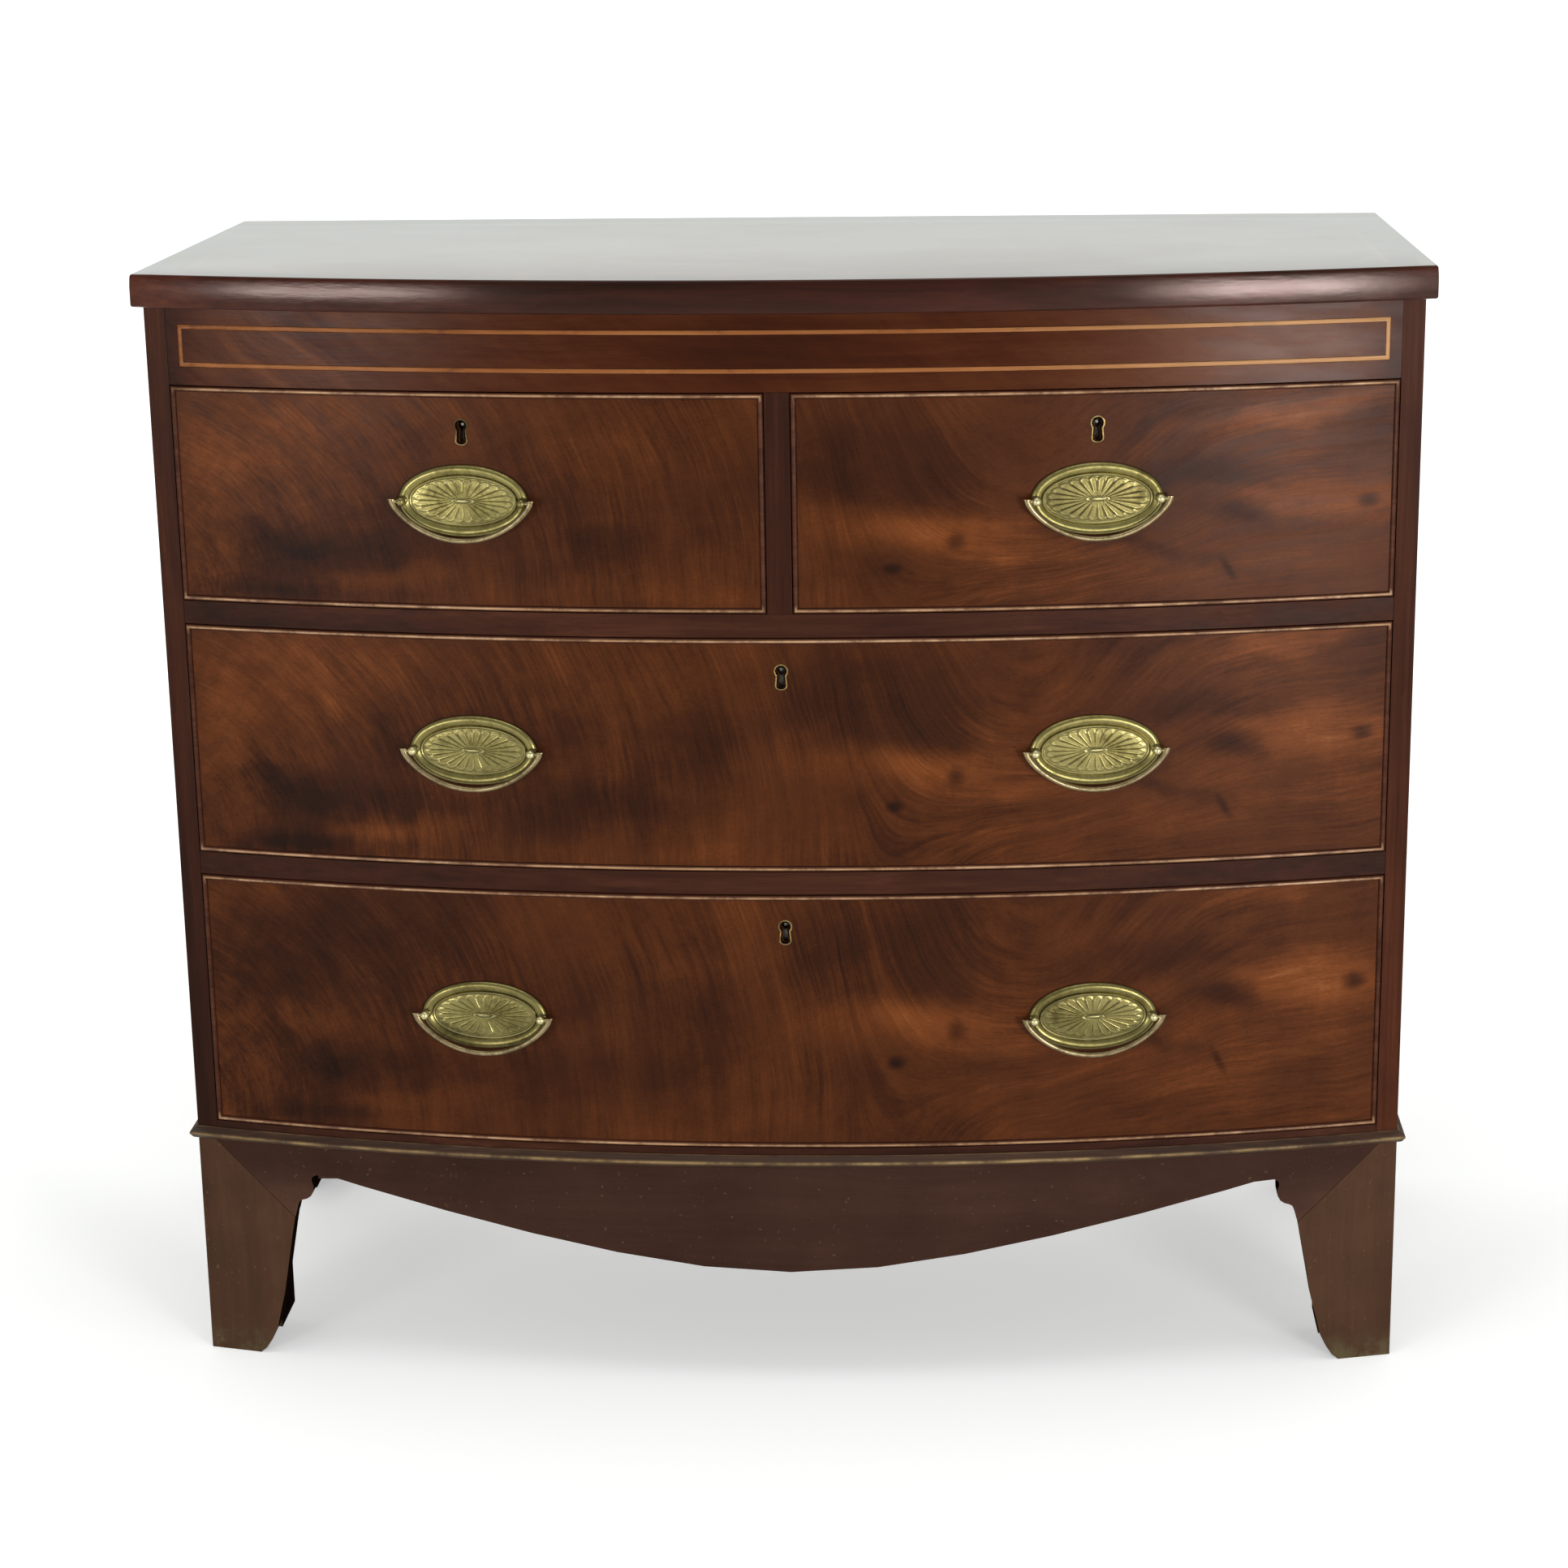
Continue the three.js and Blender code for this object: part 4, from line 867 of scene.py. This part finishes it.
def petal_relief(reach, angle):
    """Spoon-shaped petals with raised outlines, in millimetres; reach runs from the boss to the rim."""
    t = abs(2 * ((angle * PETALS / (2 * math.pi)) % 1) - 1)
    tip = max(0.0, reach - 0.76) / 0.2
    across = math.hypot(t, tip)
    fullness = 0.3 + 0.7 * min(1.0, max(0.0, (reach - 0.1) / 0.6))
    flute = 0.24 * math.sqrt(max(0.0, 1 - across ** 2))
    outline = 0.32 * max(0.0, 1 - abs(across - 0.8) / 0.2)
    return fullness * (flute + outline)


# How tarnished each plate is: rim, middle
PLATE_TARNISH = {
    "short_left": (0.0, 0.0), "short_right": (0.0, 0.55),
    "long_upper_left": (0.2, 0.27), "long_upper_right": (0.03, 0.2),
    "long_lower_left": (0.28, 0.2), "long_lower_right": (0.33, 0.4),
}


def make_plate(name, node, body, x, z, dull_posts):
    """A stamped plate with a post, its shank and its nut near each end."""
    place = onto_bow(x, z)
    rim_tarnish, middle_tarnish = PLATE_TARNISH[name]
    points, hollow, clean = [], [], []

    def oval(half_width, half_height, height, relief=None, shade=0.0, rubbed_and_highlight=0.0):
        for j in range(PLATE_STEPS):
            even = 2 * math.pi * j / PLATE_STEPS
            angle = even + 0.12 * math.sin(2 * even)
            raised = relief(even) if relief else 0.0
            points.append(place @ Vector((
                half_width * math.cos(angle), -(height + raised) / 1000, half_height * math.sin(angle))))
            if relief:
                hollow.append(min(1.0, middle_tarnish + 0.12 * max(0.0, 1 - raised / 0.15)))
                clean.append((1 - middle_tarnish) * min(0.4, max(0.0, raised - 0.25)))
            else:
                hollow.append(min(1.0, rim_tarnish + shade))
                clean.append((1 - rim_tarnish) * rubbed_and_highlight)

    # The groove inside the rim's torus is darkened, partly tarnish and partly painted shade; the rim's bead
    # is lightened, partly rubbed polish and partly painted highlight
    for inset, height in RIM_PROFILE:
        shade = 0.6 if 8.3 < inset < 8.6 else 0.0
        rubbed_and_highlight = 0.35 if 8.9 < inset < 10.0 else 0.0
        inset /= 1000
        oval(PLATE_HALF_WIDTH - inset, PLATE_HALF_HEIGHT - inset, height, shade=shade, rubbed_and_highlight=rubbed_and_highlight)
    panel_width, panel_height = PLATE_HALF_WIDTH - RIM_WIDTH, PLATE_HALF_HEIGHT - RIM_WIDTH
    for i in range(PANEL_ROWS + 1):
        reach = 0.985 * (1 - i / PANEL_ROWS)
        oval(
            BOSS_HALF_WIDTH + (panel_width - BOSS_HALF_WIDTH) * reach,
            BOSS_HALF_HEIGHT + (panel_height - BOSS_HALF_HEIGHT) * reach,
            1.15 + 0.7 * (1 - reach * reach),
            lambda even: petal_relief(reach, even))
    # The boss's foot and inner groove are darkened, partly tarnish and partly painted shade; its rings are
    # lightened, partly rubbed polish and partly painted highlight
    for share, height in BOSS_PROFILE:
        shade = 0.6 if share in (1.0, 0.62) else 0.0
        rubbed_and_highlight = 0.3 if share in (0.88, 0.78, 0.35, 0.15) else 0.0
        oval(BOSS_HALF_WIDTH * share, BOSS_HALF_HEIGHT * share, height, shade=shade, rubbed_and_highlight=rubbed_and_highlight)
    faces = tube(len(RIM_PROFILE) + PANEL_ROWS + 1 + len(BOSS_PROFILE), PLATE_STEPS)

    turned = list(POST_NECK)
    for i in range(BALL_STEPS + 1):
        angle = math.pi * (0.2 + 0.8 * i / BALL_STEPS)
        turned.append((-POST_REACH + BALL_RADIUS * math.cos(angle), BALL_RADIUS * math.sin(angle)))
    for end in (-1, 1):
        for profile, sides in ((turned, POST_SIDES), (POST_SHANK, SHANK_SIDES)):
            start = len(points)
            for y, radius in profile:
                radius = max(radius, CLOSED_RADIUS)
                for j in range(sides):
                    angle = 2 * math.pi * j / sides
                    points.append(place @ Vector((
                        end * POST_SPACING + radius * math.cos(angle), y, radius * math.sin(angle))))
                    hollow.append(0.9 if y > -POST_REACH + BALL_RADIUS * 0.85 else 0.0)
                    # Painted highlight: the front of each ball is lightened
                    clean.append(0.0 if dull_posts or y > -POST_REACH + BALL_RADIUS * 0.7 else 0.8)
            faces += tube(len(profile), sides, start)
        start = len(points)
        for y, shrink in NUT_LEVELS:
            for sx, sz in ((-1, -1), (1, -1), (1, 1), (-1, 1)):
                size = NUT_HALF - shrink
                points.append(place @ Vector((end * POST_SPACING + sx * size, NUT_FACE + y, sz * size)))
                hollow.append(0.0)
                clean.append(0.0)
        faces += tube(3, 4, start)
    new_piece(
        f"{name}_plate", points, faces, plate_brass, body, [node],
        {"hollow": hollow, "clean": clean}, 50)


def make_bail(name, node, body, x, z):
    """A drooping bar that ends in flat-topped horns, pointed outwards, with pins into the posts."""
    place = onto_bow(x, z)
    rings = []
    for i in range(BAIL_STEPS + 1):
        angle = math.pi * i / BAIL_STEPS
        lean, sink = abs(math.cos(angle)), max(0.0, math.sin(angle))
        centre_x, centre_z = BAIL_HALF_WIDTH * math.cos(angle), -BAIL_DROP * sink ** BAIL_FULLNESS
        normal = Vector((
            BAIL_DROP * BAIL_FULLNESS * math.cos(angle), -BAIL_HALF_WIDTH * sink ** (2 - BAIL_FULLNESS)))
        normal.normalize()
        radius = BAIL_RADIUS * (1 + 0.22 * lean ** 6)
        ring = []
        for j in range(BAIL_SIDES):
            turn = 2 * math.pi * j / BAIL_SIDES
            out = radius * math.cos(turn)
            depth = -POST_REACH + BAIL_RADIUS * math.sin(turn)
            ring.append((centre_x + normal[0] * out, depth, centre_z + normal[1] * out))
        rings.append(ring)

    def horn(ring, rise, push):
        way = 1 if ring[0][0] + ring[BAIL_SIDES // 2][0] > 0 else -1
        middle = sum(p[0] for p in ring) / BAIL_SIDES
        return [
            (px + way * push * (0.5 + 0.5 * way * (px - middle) / BAIL_RADIUS), py, pz + rise)
            for px, py, pz in ring]

    chain = [horn(rings[0], rise, push) for rise, push in reversed(HORN_LEVELS)]
    chain += rings
    chain += [horn(rings[-1], rise, push) for rise, push in HORN_LEVELS]
    points = [place @ Vector(p) for ring in chain for p in ring]
    faces = tube(len(chain), BAIL_SIDES)
    for end in (-1, 1):
        start = len(points)
        for px in (POST_SPACING + BALL_RADIUS / 2, BAIL_HALF_WIDTH):
            for j in range(BAIL_SIDES):
                turn = 2 * math.pi * j / BAIL_SIDES
                points.append(place @ Vector((
                    end * px, -POST_REACH + PIN_RADIUS * math.sin(turn), PIN_RADIUS * math.cos(turn))))
        faces += tube(2, BAIL_SIDES, start)
    new_piece(
        f"{name}_bail", points, faces, bail_brass, body, [node],
        {"hollow": [0.0] * len(points)}, 50)


# Cockbeads: section as (inwards, depth, wear), where the wear column also places a painted highlight along
# the crown
BEAD_SECTION = [
    (0.0, 0.007, 0.0), (0.0, -0.0006, 0.0), (0.0004, -0.0013, 0.0), (0.0010, -0.00172, 0.2),
    (0.0016, -0.00188, 0.85), (0.0020, -0.0019, 1.0), (0.0024, -0.00188, 0.85), (0.0030, -0.00172, 0.2),
    (0.0036, -0.0013, 0.0), (0.0040, -0.0006, 0.0), (0.0040, 0.007, 0.0),
]
# The cockbeads' bright crown line, strong on the top and bottom runs and faint up the sides, is partly wear
# and partly painted highlight
bead_wood = rubbed_and_sheen_finish(
    "bead_wood", 17.0,
    [(0.25, 40, 20, 13), (0.5, 66, 34, 22), (0.75, 86, 47, 31)],
    [(0.25, 128, 92, 62), (0.5, 180, 140, 104), (0.75, 222, 190, 154)],
    (30, 0.75, 0.36, 0.6, 0.25), (0.06, 0.06), (0.2, 0.32))

for name, drawer in DRAWERS.items():
    body = f"drawer_{name}"
    x0, x1 = drawer["x0"] + CLEARANCE, drawer["x1"] - CLEARANCE
    z0, z1 = drawer["z0"] + CLEARANCE, drawer["z1"] - CLEARANCE
    lock_x = (drawer["x0"] + drawer["x1"]) / 2
    dull = name == "short_left"
    bowed_frame(
        f"{name}_bead", x0, x1, z0, z1, BEAD_SECTION, bead_wood, body, f"{name}_cockbead")
    make_escutcheon(name, lock_x, z1 - KEYHOLE_DROP, body, 1.0 if dull else 0.0)
    handle_z = (z0 + z1) / 2 + HANDLE_RISE
    for suffix, handle_x in drawer["handles"].items():
        handle = f"{name}{suffix}"
        make_plate(handle, f"{handle}_handle_plate", body, handle_x, handle_z, dull)
        make_bail(handle, f"{handle}_handle_bail", f"{handle}_handle_bail", handle_x, handle_z)


# Shading of the CAD nodes that stay: faces meet smoothly except at real edges
WELD_DISTANCE = 0.00001
SHARP_ANGLE = math.radians(25)


def smooth_by_angle():
    group = bpy.data.node_groups.new("smooth_by_angle", "GeometryNodeTree")
    for way in ("INPUT", "OUTPUT"):
        group.interface.new_socket("Geometry", in_out=way, socket_type="NodeSocketGeometry")
    tree = NodeTree(group)
    start, end = tree.add("NodeGroupInput"), tree.add("NodeGroupOutput")
    clear = tree.add("GeometryNodeRemoveAttribute", {"Geometry": start.outputs[0], "Name": "custom_normal"})
    weld = tree.add(
        "GeometryNodeMergeByDistance", {"Geometry": clear.outputs[0], "Distance": WELD_DISTANCE})
    faces = tree.add("GeometryNodeSetShadeSmooth", {"Geometry": weld.outputs[0]})
    angle = tree.add("GeometryNodeInputMeshEdgeAngle").outputs["Unsigned Angle"]
    compare = tree.add("FunctionNodeCompare", {0: angle, 1: SHARP_ANGLE}, operation="GREATER_THAN")
    edges = tree.add("GeometryNodeSetShadeSmooth", {"Geometry": faces.outputs[0]}, domain="EDGE")
    tree.feed(edges.inputs["Selection"], compare.outputs["Result"])
    tree.feed(edges.inputs["Shade Smooth"], False)
    tree.feed(end.inputs[0], edges.outputs[0])
    return group


smoothing = smooth_by_angle()
finishes = {
    "side_left": painted_shade_side_wood, "side_right": side_wood,
    "back_board_lower": low_deal_wood, "back_board_upper": deal_wood,
    "frieze_rail": frieze_wood, "rail_upper": rail_wood, "rail_lower": rail_wood,
    "carcase_bottom": rail_wood,
    "dustboard_lower": board_wood, "dustboard_upper": board_wood,
    "drawer_divider": divider_wood, "drawer_guide": board_wood,
    "apron": apron_wood, "foot_front_left": foot_wood, "foot_front_right": foot_wood,
    "foot_rear_left": foot_wood, "foot_rear_right": foot_wood,
}
for order, (name, drawer) in enumerate(DRAWERS.items()):
    # One veneer runs across both short drawers
    if name != "short_right":
        seed = 20.0 + 0.15 * order
        veneer = drawer_veneer(f"veneer_{name}", drawer["z0"], drawer["z1"], seed, *FIGURE_ROWS[name])
    finishes[f"{name}_front"] = veneer
    finishes[f"{name}_box"] = oak_wood
    finishes[f"{name}_bottom"] = oak_wood
    finishes[f"{name}_lock"] = lock_iron
    finishes[f"{name}_bolt"] = trim_brass

for name, shader in finishes.items():
    node = nodes[name]
    for holder in node.material_slots:
        holder.material = shader.material
    node.modifiers.new("shading", "NODES").node_group = smoothing

# Floor, light and background
FLOOR_HALF = 40
floor_points = [(x * FLOOR_HALF, y * FLOOR_HALF, 0) for x, y in ((-1, -1), (1, -1), (1, 1), (-1, 1))]
floor_mesh = bpy.data.meshes.new("floor")
floor_mesh.from_pydata(floor_points, [], [(0, 1, 2, 3)])
floor = bpy.data.objects.new("floor", floor_mesh)
bpy.context.scene.collection.objects.link(floor)
ground = Shader("floor_finish")
ground.set(Base_Color=(0.86, 0.86, 0.86, 1), Roughness=0.9, Specular_IOR_Level=0.1)
ground.set(Emission_Color=(1, 1, 1, 1))
rays = ground.add("ShaderNodeLightPath")
x, y, _ = ground.split(ground.place)
mirrored = ground.math("MAXIMUM", rays.outputs["Is Glossy Ray"], rays.outputs["Is Transmission Ray"])
mirrored = ground.math("MULTIPLY", mirrored, ground.span(y, -1.5, 0.5, 0.3, 1.0))
seen = ground.math("MAXIMUM", rays.outputs["Is Camera Ray"], mirrored)
# The floor glows less near the chest: painted soft shade around it, on top of its real shadow
squares = ground.math("MULTIPLY_ADD", x, x, ground.math("MULTIPLY", y, y))
glow = ground.span(ground.math("SQRT", squares), 0.6, 2.4, 0.4, 0.8)
ground.set(Emission_Strength=ground.math("MULTIPLY", seen, glow))
floor.data.materials.append(ground.material)

world = bpy.data.worlds.new("world")
bpy.context.scene.world = world
world.use_nodes = True
air = NodeTree(world.node_tree)
background = air.tree.nodes["Background"]
paths = air.add("ShaderNodeLightPath")
camera_ray = paths.outputs["Is Camera Ray"]
AIR_TINT = (0.955, 0.985, 0.95, 1)
air.feed(background.inputs["Color"], air.mix(camera_ray, AIR_TINT, (1, 1, 1, 1)))
seen_rays = air.math("MAXIMUM", camera_ray, paths.outputs["Is Glossy Ray"])
seen_rays = air.math("MAXIMUM", seen_rays, paths.outputs["Is Transmission Ray"])
# The room is darker in front of the chest than behind it, and a little lighter above the horizon
_, way_back, way_up = air.split(air.add("ShaderNodeTexCoord").outputs["Generated"])
horizon = air.span(way_up, 0.06, 0.22, 0.9, 1.1)
room = air.span(way_back, -0.7, 0.5, 0.42, 0.84)
shaded = air.math("MULTIPLY", room, horizon)
lighter = air.math("MAXIMUM", camera_ray, shaded)
dimmed = air.math("MULTIPLY", shaded, 0.84)
strength = air.add("ShaderNodeMix", {0: seen_rays, 2: dimmed, 3: lighter})
air.feed(background.inputs["Strength"], strength.outputs[0])


def soft_lamp(name, place, aim, size, watts):
    light = bpy.data.lights.new(name, "AREA")
    light.shape = "RECTANGLE"
    light.size, light.size_y = size
    light.energy = watts
    lamp = bpy.data.objects.new(name, light)
    lamp.location = place
    lamp.visible_camera = False
    lamp.rotation_euler = (Vector(aim) - Vector(place)).to_track_quat("-Z", "Y").to_euler()
    bpy.context.scene.collection.objects.link(lamp)


soft_lamp("lamp_left", (-1.98, -2.85, 0.72), (-0.35, -0.21, 0.9), (0.8, 0.34), 26)
soft_lamp("lamp_right", (1.85, -2.92, 0.6), (0.39, -0.19, 0.9), (0.75, 0.6), 56)
soft_lamp("lamp_above", (0, -0.6, 3.4), (0, 0, 0.6), (2.2, 1.6), 24)
